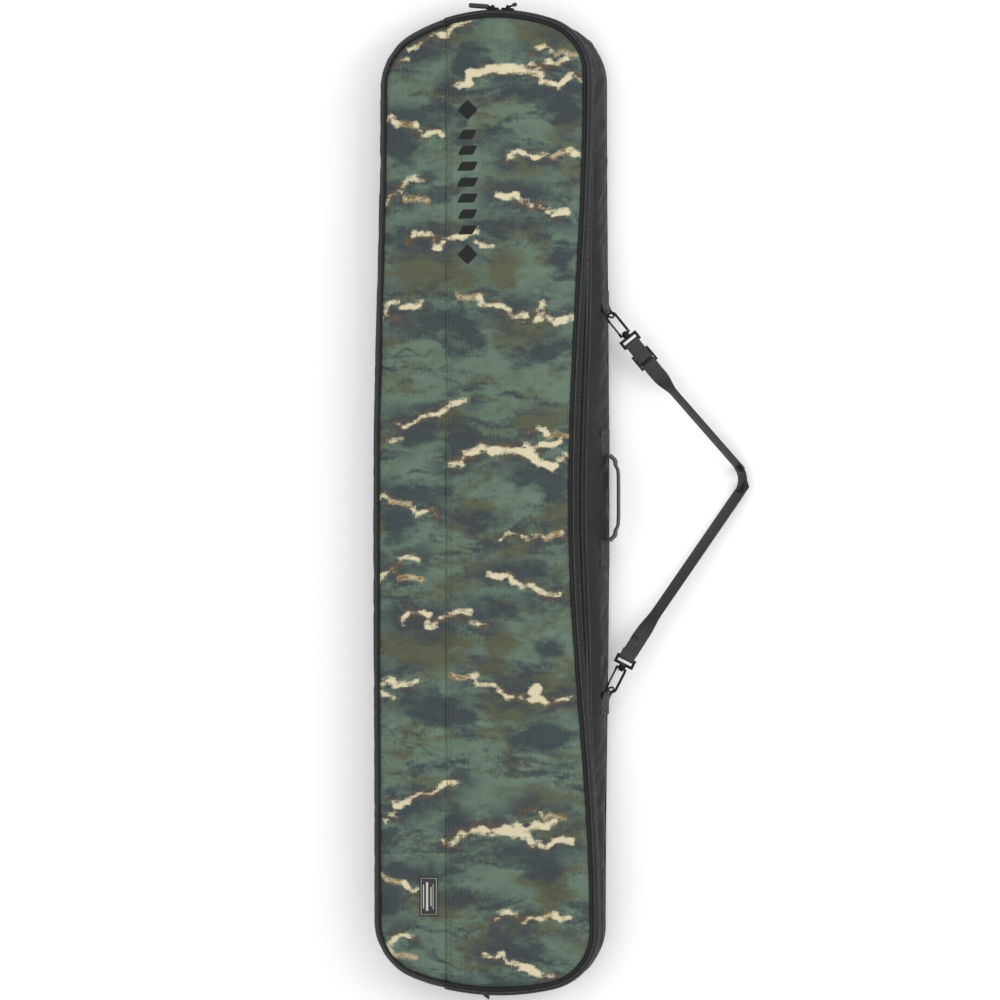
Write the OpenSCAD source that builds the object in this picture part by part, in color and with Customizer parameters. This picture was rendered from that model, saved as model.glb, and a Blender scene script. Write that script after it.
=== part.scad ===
// A long padded sports bag that lies on its back, printed front up.
// X points to the strap side, Y to the top end, Z up. The origin is on the
// floor under the middle of the back. All sizes are millimetres.

/* [Bag] */
// Length of the closed bag over its end walls
bag_length = 1610; // [1300:5:1900]
// Width over the side walls where they bulge most
bag_width = 386; // [320:2:460]
// Height from the floor to the top of the front panel
bag_height = 96; // [84:1:130]
// How far the strap side of the front panel is drawn in at the waist
waist_depth = 36; // [0:1:45]
// Distance from the middle of the bag to the folding seam in the front panel
seam_offset = 64; // [40:1:90]

/* [Padding] */
// Thickness of the outer fabric
fabric = 1.4; // [1:0.1:2]
// Thickness of the foam in the panels
panel_foam = 7.4; // [4:0.2:10]
// Thickness of the foam in the walls
wall_foam = 5; // [3:0.5:7]
// Thickness of the lining
lining = 0.8; // [0.6:0.1:1.2]

/* [Zipper] */
// Width of the closed zipper chain
chain_width = 9.6; // [8:0.2:11]
// Thickness of the zipper coil
coil = 2.5; // [2:0.1:3]
// Length of each slider
slider_length = 18; // [14:1:22]
// Length of each pull cord tube
pull_length = 30; // [20:1:36]

/* [Webbing] */
// Width of all the webbing
webbing = 25; // [20:1:30]
// Thickness of one layer of webbing
webbing_thick = 1.6; // [1.2:0.1:2]
// Distance between the sewn ends of the grab handle
handle_span = 141; // [110:1:180]
// How far the grab handle stands out from the wall
handle_reach = 24; // [16:1:34]

/* [Strap hardware] */
// Distance between the two rings, measured between their tips
ring_span = 604; // [540:2:680]
// Radius of the ring wire
ring_wire = 1.7; // [1.4:0.1:2]
// Height of each ring from its bar to its tip
ring_depth = 18.3; // [17.5:0.1:20]
// Inner radius of the hook's nose
hook_throat = 5.9; // [5.5:0.1:6.5]
// Width of the hook's metal
hook_bar = 3.6; // [3:0.1:4.2]
// How far the strap's outermost bend stands out from the rings
strap_reach = 215; // [160:5:260]

/* [Hidden] */
gap = 0.3;                               // clearance between solids that stay apart
half_length = bag_length / 2;
half_width = bag_width / 2;
piping = 5;                              // width of the corded edge
zip_grow = 12;                           // how far the zipper lies outside the front panel
front_half = half_length - zip_grow - fabric;
zip_z = bag_height - 16;                 // height of the zipper's centre line
bulge_z = bag_height * 0.4;              // height where the walls stand out most
shoulder_z = bag_height * 0.6;           // height where the walls turn in to the zipper
wall_top = zip_z - 8;                    // top edge of the wall below the zipper
corner_steps = 7;
side_steps = 14;
end_steps = 30;
cord_steps = 10;

// One outline: half length, then x of the strap side at top, waist and bottom,
// then x of the other side at the same three heights, then the end radii,
// the sideways shift of the top end's centre and the corner radius.
front = [front_half, half_width - 30, half_width - 18 - waist_depth, half_width - 19,
         30 - half_width, 18 - half_width, 20 - half_width, 272, 390, 14, 86];
body = [half_length, half_width - 3, half_width + 1, half_width - 5,
        13 - half_width, 1 - half_width, 1 - half_width, 286, 400, 14, 97];

function end_centre(s, top) = top ? s[0] - s[7] : s[8] - s[0];
function end_radius(s, top) = top ? s[7] : s[8];
function end_shift(s, top) = top ? s[9] : 0;
function side_x(s, side, row) = s[(side > 0 ? 1 : 4) + row];

// The corner arc's centre touches both the side and the end arc.
function corner_x(s, side, top) = side_x(s, side, top ? 0 : 2) - side * s[10];
function corner_rise(s, side, top) =
    sqrt(pow(end_radius(s, top) - s[10], 2) - pow(corner_x(s, side, top) - end_shift(s, top), 2));
function corner_y(s, side, top) =
    end_centre(s, top) + (top ? 1 : -1) * corner_rise(s, side, top);
function corner_angle(s, side, top) =
    atan2(corner_x(s, side, top) - end_shift(s, top), corner_rise(s, side, top));

// Where a side stands at one height: it runs in smoothly to the waist.
function ease(t) = (1 - cos(180 * t)) / 2;
function side_at(s, side, y) =
    let (top = y > 0, reach = corner_y(s, side, top))
    side_x(s, side, 1) + (side_x(s, side, top ? 0 : 2) - side_x(s, side, 1)) * ease(min(1, y / reach));

// Points of one end arc between two angles, counted clockwise from straight ahead.
function end_arc(s, grow, top, from, to, steps) =
    [for (i = [0:steps])
        let (a = from + (to - from) * i / steps)
        [end_shift(s, top) + (end_radius(s, top) + grow) * sin(a),
         end_centre(s, top) + (top ? 1 : -1) * (end_radius(s, top) + grow) * cos(a)]];
function corner_arc(s, grow, side, top, from, to) =
    [for (i = [1:corner_steps])
        let (a = from + (to - from) * i / corner_steps)
        [corner_x(s, side, top) + (s[10] + grow) * sin(a),
         corner_y(s, side, top) + (top ? 1 : -1) * (s[10] + grow) * cos(a)]];
function side_run(s, grow, side, down) =
    let (from = corner_y(s, side, down), to = corner_y(s, side, !down))
    [for (i = [1:side_steps - 1])
        let (y = from + (to - from) * i / side_steps)
        [side_at(s, side, y) + side * grow, y]];
function seam_angle(s, top) = asin((-seam_offset - end_shift(s, top)) / end_radius(s, top));

// The strap side of an outline, from the seam's top end to its bottom end.
function strap_side(s, grow) = concat(
    end_arc(s, grow, true, seam_angle(s, true), corner_angle(s, 1, true), end_steps),
    corner_arc(s, grow, 1, true, corner_angle(s, 1, true), 90),
    side_run(s, grow, 1, true),
    corner_arc(s, grow, 1, false, 90, corner_angle(s, 1, false)),
    end_arc(s, grow, false, corner_angle(s, 1, false), seam_angle(s, false), end_steps));
// The other side of an outline, from the seam's bottom end to its top end.
function plain_side(s, grow) = concat(
    end_arc(s, grow, false, seam_angle(s, false), corner_angle(s, -1, false), 6),
    corner_arc(s, grow, -1, false, corner_angle(s, -1, false), -90),
    side_run(s, grow, -1, false),
    corner_arc(s, grow, -1, true, -90, corner_angle(s, -1, true)),
    end_arc(s, grow, true, corner_angle(s, -1, true), seam_angle(s, true), 6));
function outline(s, grow) = concat(strap_side(s, grow), plain_side(s, grow));

// A flat sheet cut to an outline.
module sheet(s, grow, z, thick)
    translate([0, 0, z])
        linear_extrude(thick)
            polygon(outline(s, grow));

// The part of a sheet on one side of the folding seam.
module half_sheet(s, grow, z, thick, flap)
    intersection() {
        sheet(s, grow, z, thick);
        translate([flap ? gap - seam_offset : -bag_width - seam_offset, -bag_length, z - 1])
            cube([bag_width, 2 * bag_length, thick + 2]);
    }

// A wall that follows part of the outline. Each level is [z, outer points, inner points].
module wall(levels) {
    n = len(levels[0][1]);
    rows = len(levels);
    points = [for (level = levels) for (ring = [level[1], level[2]]) for (p = ring) [p.x, p.y, level[0]]];
    function outer(row, i) = row * 2 * n + i;
    function inner(row, i) = row * 2 * n + n + i;
    polyhedron(points, concat(
        [for (row = [0:rows - 2]) for (i = [0:n - 2])
            [outer(row, i), outer(row, i + 1), outer(row + 1, i + 1)]],
        [for (row = [0:rows - 2]) for (i = [0:n - 2])
            [outer(row, i), outer(row + 1, i + 1), outer(row + 1, i)]],
        [for (row = [0:rows - 2]) for (i = [0:n - 2])
            [inner(row + 1, i + 1), inner(row, i + 1), inner(row, i)]],
        [for (row = [0:rows - 2]) for (i = [0:n - 2])
            [inner(row + 1, i), inner(row + 1, i + 1), inner(row, i)]],
        [for (i = [0:n - 2]) [inner(0, i), inner(0, i + 1), outer(0, i + 1), outer(0, i)]],
        [for (i = [0:n - 2])
            [outer(rows - 1, i), outer(rows - 1, i + 1), inner(rows - 1, i + 1), inner(rows - 1, i)]],
        [for (row = [0:rows - 2]) [outer(row, 0), outer(row + 1, 0), inner(row + 1, 0), inner(row, 0)]],
        [for (row = [0:rows - 2])
            [inner(row, n - 1), inner(row + 1, n - 1), outer(row + 1, n - 1), outer(row, n - 1)]]));
}

function level(s, z, grow, thick, flap) = flap
    ? [z, trim(strap_side(s, grow)), trim(strap_side(s, grow - thick))]
    : [z, plain_side(s, grow), plain_side(s, grow - thick)];
// Leaves the first and last point out, so that the flap clears the seam.
function trim(points) = [for (i = [1:len(points) - 2]) points[i]];

// The upright hem at the strap side's top edge holds the zipper tape.
hem = 4;
function lower_levels(inset, thick, bottom, flap) =
    [level(body, bottom, -2 - inset, thick, flap),
     level(body, bulge_z, -inset, thick, flap),
     level(body, shoulder_z, -10 - inset, thick, flap)];
function edge_level(z, inset, thick, flap) = level(front, z, zip_grow + fabric - inset, thick, flap);

module cover_wall(flap)
    wall(concat(lower_levels(0, fabric, 5.2, flap), flap
        ? [edge_level(wall_top - hem, 0, fabric, flap), edge_level(wall_top, 0, fabric, flap)]
        : [edge_level(zip_z, 0, fabric, flap), level(front, bag_height - 3, piping + fabric, fabric, flap)]));

// Foam or lining inside a wall, which stops short of the wall's upper edge.
layer_reach = 0.6;
layer_gap = 2;
module inner_wall(inset, thick, flap) {
    lower = lower_levels(inset, thick, fabric + panel_foam + lining + 1, flap);
    edge = edge_level(flap ? wall_top - hem : zip_z, inset, thick, flap);
    wall(concat(lower, [lower[2] + (edge - lower[2]) * layer_reach]));
}

// A corded edge along one part of an outline.
module edge_cord(s, grow, z, flap)
    wall([level(s, z, grow + piping, piping, flap), level(s, z + 4.5, grow + piping, piping, flap)]);

// A thin band of tape or coil that stands upright along the zipper.
module zip_band(grow, thick, z, height)
    wall([level(front, z, grow + thick, thick, true), level(front, z + height, grow + thick, thick, true)]);

// ---- back and walls ----
module back_panel()
    color("#2b2b2e")
        sheet(body, -6, 0, fabric);

module back_padding()
    color("#b9b9b4")
        sheet(body, -10, fabric + 0.1, panel_foam);

module back_lining()
    color("#3a3a3d")
        sheet(body, -10, fabric + panel_foam + 0.2, lining);

module back_piping()
    color("#151516") {
        edge_cord(body, -6, 0.4, true);
        edge_cord(body, -6, 0.4, false);
    }

module strap_side_wall()
    color("#3b3b3f")
        cover_wall(true);

module strap_side_foam()
    color("#b9b9b4")
        inner_wall(fabric + layer_gap, wall_foam, true);

module strap_side_lining()
    color("#3a3a3d")
        inner_wall(fabric + layer_gap + wall_foam + 0.2, lining, true);

module hinge_side_wall()
    color("#3b3b3f")
        cover_wall(false);

module hinge_side_foam()
    color("#b9b9b4")
        inner_wall(fabric + layer_gap, wall_foam, false);

module hinge_side_lining()
    color("#3a3a3d")
        inner_wall(fabric + layer_gap + wall_foam + 0.2, lining, false);

// ---- front, fixed side ----
panel_bottom = bag_height - fabric - panel_foam - lining - 0.2;

module front_panel_narrow()
    color("#5f7a68")
        half_sheet(front, 0, bag_height - fabric, fabric, false);

module front_padding_narrow()
    color("#b9b9b4")
        half_sheet(front, -3, bag_height - fabric - panel_foam - 0.1, panel_foam, false);

module front_lining_narrow()
    color("#3a3a3d")
        half_sheet(front, -3, panel_bottom, lining, false);

module front_piping_fixed()
    color("#151516")
        edge_cord(front, 0, bag_height - 6.5, false);

// Tape that covers the raw edges of the seam on the inside.
module seam_binding()
    color("#151516")
        translate([-seam_offset - 18, -front_half + 30, panel_bottom - 0.9])
            cube([17, 2 * front_half - 60, 0.8]);

label_size = [31, 65];
module woven_label()
    color("#0d0d0e")
        translate([-seam_offset - 43, -0.801 * half_length - label_size.y / 2, bag_height + 0.02])
            cube([label_size.x, label_size.y, 0.6]);

// ---- front, flap side ----
module front_panel_wide()
    color("#5f7a68")
        half_sheet(front, 0, bag_height - fabric, fabric, true);

module front_padding_wide()
    color("#b9b9b4")
        half_sheet(front, -3, bag_height - fabric - panel_foam - 0.1, panel_foam, true);

module front_lining_wide()
    color("#3a3a3d")
        half_sheet(front, -3, panel_bottom, lining, true);

module front_piping_flap()
    color("#151516")
        edge_cord(front, 0, bag_height - 6.5, true);

strip_bottom = zip_z + chain_width / 2 + 0.9;
module flap_wall_strip()
    color("#4a4a4e")
        wall([edge_level(strip_bottom, 0, fabric, true),
              edge_level(strip_bottom + 2.2, 0, fabric, true),
              level(front, bag_height - 3, piping + 0.1 + fabric, fabric, true)]);

// ---- zipper ----
half_gap = 0.5;                          // half of the line between the two coils
tape = 1.2;
module zip_tape_lower()
    color("#1d1d1f")
        zip_band(zip_grow - tape - 0.1, tape, wall_top - hem + 0.2,
                 zip_z - half_gap - wall_top + hem - 0.2);

module zip_coil_lower()
    color("#29292b")
        zip_band(zip_grow, coil, zip_z - chain_width / 2, chain_width / 2 - half_gap);

module zip_tape_upper()
    color("#1d1d1f")
        zip_band(zip_grow - tape - 0.1, tape, zip_z + half_gap, strip_bottom + 2 - zip_z - half_gap);

module zip_coil_upper()
    color("#29292b")
        zip_band(zip_grow, coil, zip_z + half_gap, chain_width / 2 - half_gap);

// Folded tab that a hand holds while the zipper is drawn.
module zip_end_tab()
    color("#111112")
        translate([-2, -front_half - zip_grow - fabric, zip_z - 19])
            linear_extrude(9)
                polygon([[-9, -0.1], [5, -0.1], [5, -10]]);

// A piece of a ring about the centre of the top end's arc.
module end_ring(inner, outer, z, height, from, sweep)
    translate([end_shift(front, true), end_centre(front, true), z])
        rotate([0, 0, from])
            rotate_extrude(angle = sweep, $fn = 240)
                translate([end_radius(front, true) + inner, 0])
                    square([outer - inner, height]);

slider_sweep = slider_length / end_radius(front, true) * 180 / PI;
left_slider_at = 90 + 0.4;               // angles about the end arc's centre
right_slider_at = 90 - 4.6;
plate = 1.7;
plate_out = zip_grow + coil + 0.45;      // inner face of the outer plate
plate_in = zip_grow - tape - 0.5;        // outer face of the inner plate
slider_half = chain_width / 2 + 1.8;
crown_out = plate_out + plate;

// nose is +1 when the slider's nose points to the left.
module slider(at, nose)
    color("#18181a") {
        start = at - slider_sweep / 2;
        post = slider_sweep * 0.18;
        post_at = nose > 0 ? start + slider_sweep - post : start;
        end_ring(plate_out, crown_out, zip_z - slider_half, 2 * slider_half, start, slider_sweep);
        end_ring(plate_in - plate, plate_in, zip_z - slider_half, 2 * slider_half, start, slider_sweep);
        // the thin post that parts the two coils
        end_ring(plate_in - 0.2, plate_out + 0.2, zip_z - half_gap + 0.25, 2 * half_gap - 0.5, post_at, post);
        // the lip that keeps the slider on the lower coil
        end_ring(zip_grow + 0.5, plate_out + 0.1, zip_z - slider_half, 1, start, slider_sweep);
        at_slider(at)
            for (side = [-1, 1])
                translate([0, 2.3, side * 3.4 - 0.9])
                    difference() {
                        union() {
                            cylinder(h = 1.8, r = 2.6, $fn = 40);
                            translate([-2.6, -3, 0])
                                cube([5.2, 3, 1.8]);
                        }
                        translate([0, 0, -1])
                            cylinder(h = 4, r = 1.05, $fn = 40);
                    }
    }

// Local frame on the outer face of a slider: Y outwards, Z up.
module at_slider(at)
    translate([end_shift(front, true), end_centre(front, true), zip_z])
        rotate([0, 0, at - 90])
            translate([0, end_radius(front, true) + crown_out, 0])
                children();

tongue = 9;
// The pull hangs on a pin between the two ears; turn swings it about the pin.
module pull(at, turn)
    color("#1a1a1b")
        at_slider(at)
            translate([0, 2.3, 0])
                rotate([0, 0, turn]) {
                    translate([0, 0, -4.3])
                        cylinder(h = 8.6, r = 1, $fn = 40);
                    translate([0, -0.9, -2])
                        cube([tongue, 1.8, 4]);
                }

module pull_tube(at, turn)
    color("#2a2a2b")
        at_slider(at)
            translate([0, 2.3, 0])
                rotate([0, 0, turn])
                    translate([tongue - 1, -1.9, -3.2])
                        difference() {
                            cube([pull_length, 3.8, 6.4]);
                            translate([-1, 0.9, 1.1])
                                cube([2.2, 2, 4.2]);
                        }

left_turn = 174;
right_turn = 24;
module slider_left() slider(left_slider_at, -1);
module slider_right() slider(right_slider_at, 1);
module pull_left() pull(left_slider_at, left_turn);
module pull_right() pull(right_slider_at, right_turn);
module pull_tube_left() pull_tube(left_slider_at, left_turn);
module pull_loop_right()
    color("#2a2a2b")
        at_slider(right_slider_at)
            translate([0, 2.3, 0])
                rotate([0, 0, right_turn])
                    translate([tongue + 0.05, -1.5, -3.2])
                        cube([5, 3, 6.4]);

// ---- grab handle ----
handle_x = side_at(body, 1, 0) - 3.5;
handle_y = 7.5;                           // the handle sits a little above the middle
handle_z = bulge_z + 7;
lean = atan2(shoulder_z - bulge_z, 10);  // steepness of the wall where webbing is sewn on

// A strip of even thickness along a path of points.
function across(path, i) =
    let (a = path[max(0, i - 1)], b = path[min(len(path) - 1, i + 1)], d = (b - a) / norm(b - a))
    [-d.y, d.x];
function strip(path, thick) = concat(
    [for (i = [0:len(path) - 1]) path[i] + across(path, i) * thick / 2],
    [for (i = [len(path) - 1:-1:0]) path[i] - across(path, i) * thick / 2]);
function arc(centre, r, from, to, steps) =
    [for (i = [0:steps]) let (a = from + (to - from) * i / steps) centre + r * [cos(a), sin(a)]];

handle_bend = 14;
handle_path = concat(
    [[7.5, handle_span / 2 - 1]],
    arc([handle_reach - handle_bend, handle_span / 2 - handle_bend - 4], handle_bend, 60, 0, cord_steps),
    arc([handle_reach - handle_bend, handle_bend + 4 - handle_span / 2], handle_bend, 0, -60, cord_steps),
    [[7.5, 1 - handle_span / 2]]);
module grab_handle()
    color("#232325")
        translate([handle_x, handle_y, handle_z - webbing / 2])
            linear_extrude(webbing)
                polygon(strip(handle_path, 2 * webbing_thick));

// Local frame on the sloping wall at one height along the bag: X outwards, Z up the slope.
module on_wall(y)
    translate([side_at(body, 1, y) - 4, y, handle_z])
        rotate([0, lean - 90, 0])
            children();

sewn_length = 40;
module handle_sewn_ends()
    color("#232325")
        for (end = [-1, 1])
            on_wall(handle_y + end * (handle_span / 2 + sewn_length / 2 + 2))
                translate([0.4, -sewn_length / 2, -webbing / 2])
                    cube([webbing_thick, sewn_length, webbing]);

// ---- rings and their tabs ----
ring_lean = 42;                          // how far a ring stands off the wall
tab_length = 31;
ring_width = webbing + 1;                // the bar is a little longer than the webbing is wide
ring_out = 6.2;                          // bar's distance from the wall
ring_drop = ring_depth * cos(ring_lean);
bar_y = ring_span / 2 + ring_drop;

// Local frame at a ring's bar: X off the wall, Y towards the nearer end of the bag, Z along the bar.
module at_bar(end)
    mirror([0, end > 0 ? 0 : 1, 0])
        on_wall(bar_y)
            translate([ring_out, 0, 0])
                children();

module ring_tab(end)
    color("#2b2b2d")
        at_bar(end) {
            translate([0, 0, -webbing / 2 + 2.5])
                linear_extrude(webbing - 5)
                    difference() {
                        union() {
                            circle(r = ring_wire + 0.35 + webbing_thick, $fn = 48);
                            translate([-ring_wire - 0.35 - webbing_thick, 0])
                                square([2 * webbing_thick + 0.1, 10]);
                        }
                        circle(r = ring_wire + 0.35, $fn = 48);
                    }
            translate([-ring_wire - 0.35 - webbing_thick, 9, -webbing / 2])
                cube([2 * webbing_thick, tab_length - 9, webbing]);
        }

module ring(end)
    color("#1f1f21")
        at_bar(end)
            rotate([0, 0, ring_lean - 90]) {
                leg = ring_depth - ring_width / 2 + ring_wire / 2;
                bow = ring_depth - leg;
                translate([0, 0, -bow])
                    cylinder(h = 2 * bow, r = ring_wire, $fn = 32);
                for (side = [-1, 1])
                    translate([0, 0, side * bow]) {
                        sphere(r = ring_wire, $fn = 32);
                        rotate([0, 90, 0])
                            cylinder(h = leg, r = ring_wire, $fn = 32);
                    }
                translate([leg, 0, 0])
                    rotate([90, 0, 0])
                        rotate([0, 0, -90])
                            rotate_extrude(angle = 180, $fn = 64)
                                translate([bow, 0])
                                    circle(r = ring_wire, $fn = 32);
            }

module ring_tab_upper() ring_tab(1);
module ring_tab_lower() ring_tab(-1);
module ring_upper() ring(1);
module ring_lower() ring(-1);

// ---- shoulder strap ----
// The strap turns about the line through the tips of both rings.
tip_out = ring_out + ring_depth * sin(ring_lean);
swing_x = side_at(body, 1, bar_y) - 4 + tip_out * sin(lean);
swing_z = handle_z + tip_out * cos(lean);
droop = asin((swing_z - webbing / 2 - 0.6) / strap_reach);

module strap_plane()
    translate([swing_x, 0, swing_z])
        rotate([0, droop, 0])
            children();

hook_thick = 4;
pivot_x = 31;
base_x = 33;
base_length = 7;
eye_x = base_x + base_length + gap;
eye_bar = 3.4;
eye_slot = 6;
shaft = 2.5;
upper_turn = -51;
lower_turn = 63;

// Local frame at a hook's nose: X runs to the webbing, Y to the hook's thick side.
module at_hook(end)
    strap_plane()
        translate([0, end * ring_span / 2, 0])
            rotate([0, 0, end > 0 ? upper_turn : lower_turn])
                mirror([0, end > 0 ? 0 : 1, 0])
                    children();

hook_mid = hook_throat + hook_bar / 2;
module hook_body(end)
    color("#1c1c1e")
        at_hook(end) {
            // nose, from the thick side round to the gate's stop
            translate([0, 0, -hook_thick / 2])
                rotate([0, 0, 90])
                    rotate_extrude(angle = 180, $fn = 64)
                        translate([hook_throat, 0])
                            square([hook_bar, hook_thick]);
            // thick side
            translate([-0.01, hook_throat, -hook_thick / 2])
                cube([base_x, hook_bar, hook_thick]);
            // gate's stop
            translate([-0.01, -hook_throat - hook_bar, -hook_thick / 2])
                cube([4, hook_bar, hook_thick]);
            // base with the swivel bore and the ears that hold the gate's pin
            difference() {
                union() {
                    translate([base_x, 0, 0])
                        rotate([0, 90, 0])
                            cylinder(h = base_length, r = 5.6, $fn = 48);
                    translate([base_x - 0.01, -hook_mid - 1.6, -hook_thick / 2])
                        cube([3, 2 * hook_mid + 3.2, hook_thick]);
                    for (side = [-1, 1])
                        translate([pivot_x - 2, -hook_mid - 1.8, side * 2.15 - 0.65])
                            cube([base_x - pivot_x + 3, 3.6, 1.3]);
                }
                translate([base_x - 1, 0, 0])
                    rotate([0, 90, 0])
                        cylinder(h = base_length + 2, r = shaft + 0.1, $fn = 48);
                translate([pivot_x, -hook_mid, -4])
                    cylinder(h = 8, r = 0.8, $fn = 32);
            }
        }

// Sprung gate that closes the hook, with the pin it turns on.
module hook_gate(end)
    color("#2a2a2c")
        at_hook(end) {
            translate([4.4, -hook_mid - 1.1, -1.25])
                cube([pivot_x - 4.4, 2.2, 2.5]);
            translate([pivot_x, -hook_mid, -1.25])
                cylinder(h = 2.5, r = 1.5, $fn = 32);
            translate([pivot_x, -hook_mid, -2.7])
                cylinder(h = 5.4, r = 0.7, $fn = 32);
        }

// Swivel eye: a headed shaft that turns in the hook's base and a frame for the webbing.
eye_width = webbing + 2 * eye_bar + 1;
module hook_eye(end)
    color("#1c1c1e")
        at_hook(end) {
            rotate([0, 90, 0]) {
                translate([0, 0, base_x - gap - 2])
                    cylinder(h = 2, r = 3.6, $fn = 48);
                translate([0, 0, base_x - gap - 1])
                    cylinder(h = base_length + 3, r = shaft, $fn = 48);
            }
            translate([eye_x, -eye_width / 2, -eye_bar / 2])
                difference() {
                    cube([2 + 2 * eye_bar + eye_slot, eye_width, eye_bar]);
                    translate([2 + eye_bar / 2, eye_bar, -1])
                        cube([eye_slot + eye_bar / 2, eye_width - 2 * eye_bar, eye_bar + 2]);
                }
        }

module hook_body_upper() hook_body(1);
module hook_body_lower() hook_body(-1);
module hook_gate_upper() hook_gate(1);
module hook_gate_lower() hook_gate(-1);
module hook_eye_upper() hook_eye(1);
module hook_eye_lower() hook_eye(-1);

// The strap's run in its own plane, from the upper eye to the lower eye.
far_x = eye_x + 2 + eye_bar + eye_slot + eye_bar / 2;
upper_eye = [far_x * cos(upper_turn), ring_span / 2 + far_x * sin(upper_turn)];
lower_eye = [far_x * cos(lower_turn), far_x * sin(lower_turn) - ring_span / 2];
glide_turn = -50;
adjuster_span = 32.2;                    // from the upper eye's bar to the middle of the buckle
glide = upper_eye + adjuster_span * [cos(upper_turn), sin(upper_turn)];
bend = 40;
bend_centre = [strap_reach - bend - 1, ring_span * 0.06];
upper_run_turn = 43;
lower_run_turn = -34;
strap_path = concat(
    [glide + 24 * [cos(glide_turn), sin(glide_turn)]],
    arc(bend_centre, bend, upper_run_turn, lower_run_turn, cord_steps),
    [lower_eye + 34 * [cos(lower_turn - 6), sin(lower_turn - 6)]]);

module strap_webbing()
    color("#3a3a3b")
        strap_plane() {
            translate([0, 0, -webbing / 2])
                linear_extrude(webbing)
                    polygon(strip(strap_path, 2));
            // flat stretches where the webbing turns over to pass the buckles
            translate([glide.x, glide.y, 0])
                rotate([0, 0, glide_turn])
                    translate([14, -webbing / 2, -1])
                        cube([22, webbing, 2]);
            translate([lower_eye.x, lower_eye.y, 0])
                rotate([0, 0, lower_turn - 6])
                    translate([6, -webbing / 2, -1])
                        cube([40, webbing, 2]);
            strap_loop(lower_eye, lower_turn, 8);
        }

// A loop of webbing round an eye's far bar, seen from the side as a ring with a tail.
module strap_loop(at, turn, tail)
    translate([at.x, at.y, 0])
        rotate([0, 0, turn])
            rotate([90, 0, 0])
                translate([0, 0, -webbing / 2])
                    linear_extrude(webbing)
                        difference() {
                            union() {
                                circle(r = eye_bar / 2 + 0.9 + webbing_thick, $fn = 40);
                                translate([0, -webbing_thick])
                                    square([tail, 2 * webbing_thick]);
                            }
                            circle(r = eye_bar / 2 + 0.9, $fn = 40);
                        }

// The short end that passes the upper eye and comes back to the buckle.
module strap_adjuster_loop()
    color("#3a3a3b")
        strap_plane()
            strap_loop(upper_eye, upper_turn, 17);

// Three-bar buckle that sets the strap's length.
glide_size = [28, 33];
module strap_buckle()
    color("#242426")
        strap_plane()
            translate([glide.x, glide.y, 0])
                rotate([0, 0, glide_turn])
                    difference() {
                        translate([-glide_size.x / 2, -glide_size.y / 2, -1.5])
                            cube([glide_size.x, glide_size.y, 3]);
                        for (side = [-1, 1])
                            translate([side * 6.8 - 4.2, -webbing / 2 - 0.5, -3])
                                cube([8.4, webbing + 1, 6]);
                    }

back_panel();
back_padding();
back_lining();
back_piping();
strap_side_wall();
strap_side_foam();
strap_side_lining();
hinge_side_wall();
hinge_side_foam();
hinge_side_lining();
front_panel_narrow();
front_padding_narrow();
front_lining_narrow();
front_piping_fixed();
seam_binding();
woven_label();
front_panel_wide();
front_padding_wide();
front_lining_wide();
front_piping_flap();
flap_wall_strip();
zip_tape_lower();
zip_coil_lower();
zip_tape_upper();
zip_coil_upper();
zip_end_tab();
slider_left();
slider_right();
pull_left();
pull_right();
pull_tube_left();
pull_loop_right();
grab_handle();
handle_sewn_ends();
ring_tab_upper();
ring_tab_lower();
ring_upper();
ring_lower();
hook_body_upper();
hook_body_lower();
hook_gate_upper();
hook_gate_lower();
hook_eye_upper();
hook_eye_lower();
strap_webbing();
strap_adjuster_loop();
strap_buckle();
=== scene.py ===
import math
import bmesh
import bpy
import numpy as np
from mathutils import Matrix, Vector
from mathutils.kdtree import KDTree
from mathutils.noise import noise_vector, seed_set


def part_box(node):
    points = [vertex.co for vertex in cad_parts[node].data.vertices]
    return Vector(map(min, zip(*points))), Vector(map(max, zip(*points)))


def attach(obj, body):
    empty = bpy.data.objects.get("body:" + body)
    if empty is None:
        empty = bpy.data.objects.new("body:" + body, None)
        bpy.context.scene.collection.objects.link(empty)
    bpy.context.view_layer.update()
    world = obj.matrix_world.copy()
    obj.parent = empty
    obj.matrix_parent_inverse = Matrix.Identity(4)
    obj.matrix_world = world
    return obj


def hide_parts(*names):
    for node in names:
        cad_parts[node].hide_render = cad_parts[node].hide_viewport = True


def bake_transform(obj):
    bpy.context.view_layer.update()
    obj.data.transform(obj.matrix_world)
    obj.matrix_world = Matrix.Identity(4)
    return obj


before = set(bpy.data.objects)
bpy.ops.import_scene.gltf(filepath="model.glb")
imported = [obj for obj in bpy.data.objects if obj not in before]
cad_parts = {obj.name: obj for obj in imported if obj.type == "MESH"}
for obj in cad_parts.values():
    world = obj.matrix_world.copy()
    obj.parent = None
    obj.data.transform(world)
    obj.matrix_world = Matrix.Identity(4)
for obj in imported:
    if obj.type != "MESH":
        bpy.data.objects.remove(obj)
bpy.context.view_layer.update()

seed_set(7)

# camera
view = {"target": (0.0265, 0.004, 0.095), "turn": 10, "distance": 5.2, "lens": 114.8}
cameraData = bpy.data.cameras.new("camera")
cameraData.lens = view["lens"]
cameraData.sensor_width = 36
camera = bpy.data.objects.new("camera", cameraData)
bpy.context.collection.objects.link(camera)
side = math.radians(view["turn"])
away = Vector((math.sin(side), 0, math.cos(side)))
camera.location = Vector(view["target"]) + view["distance"] * away
camera.rotation_euler = (0, side, 0)
bpy.context.scene.camera = camera

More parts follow.
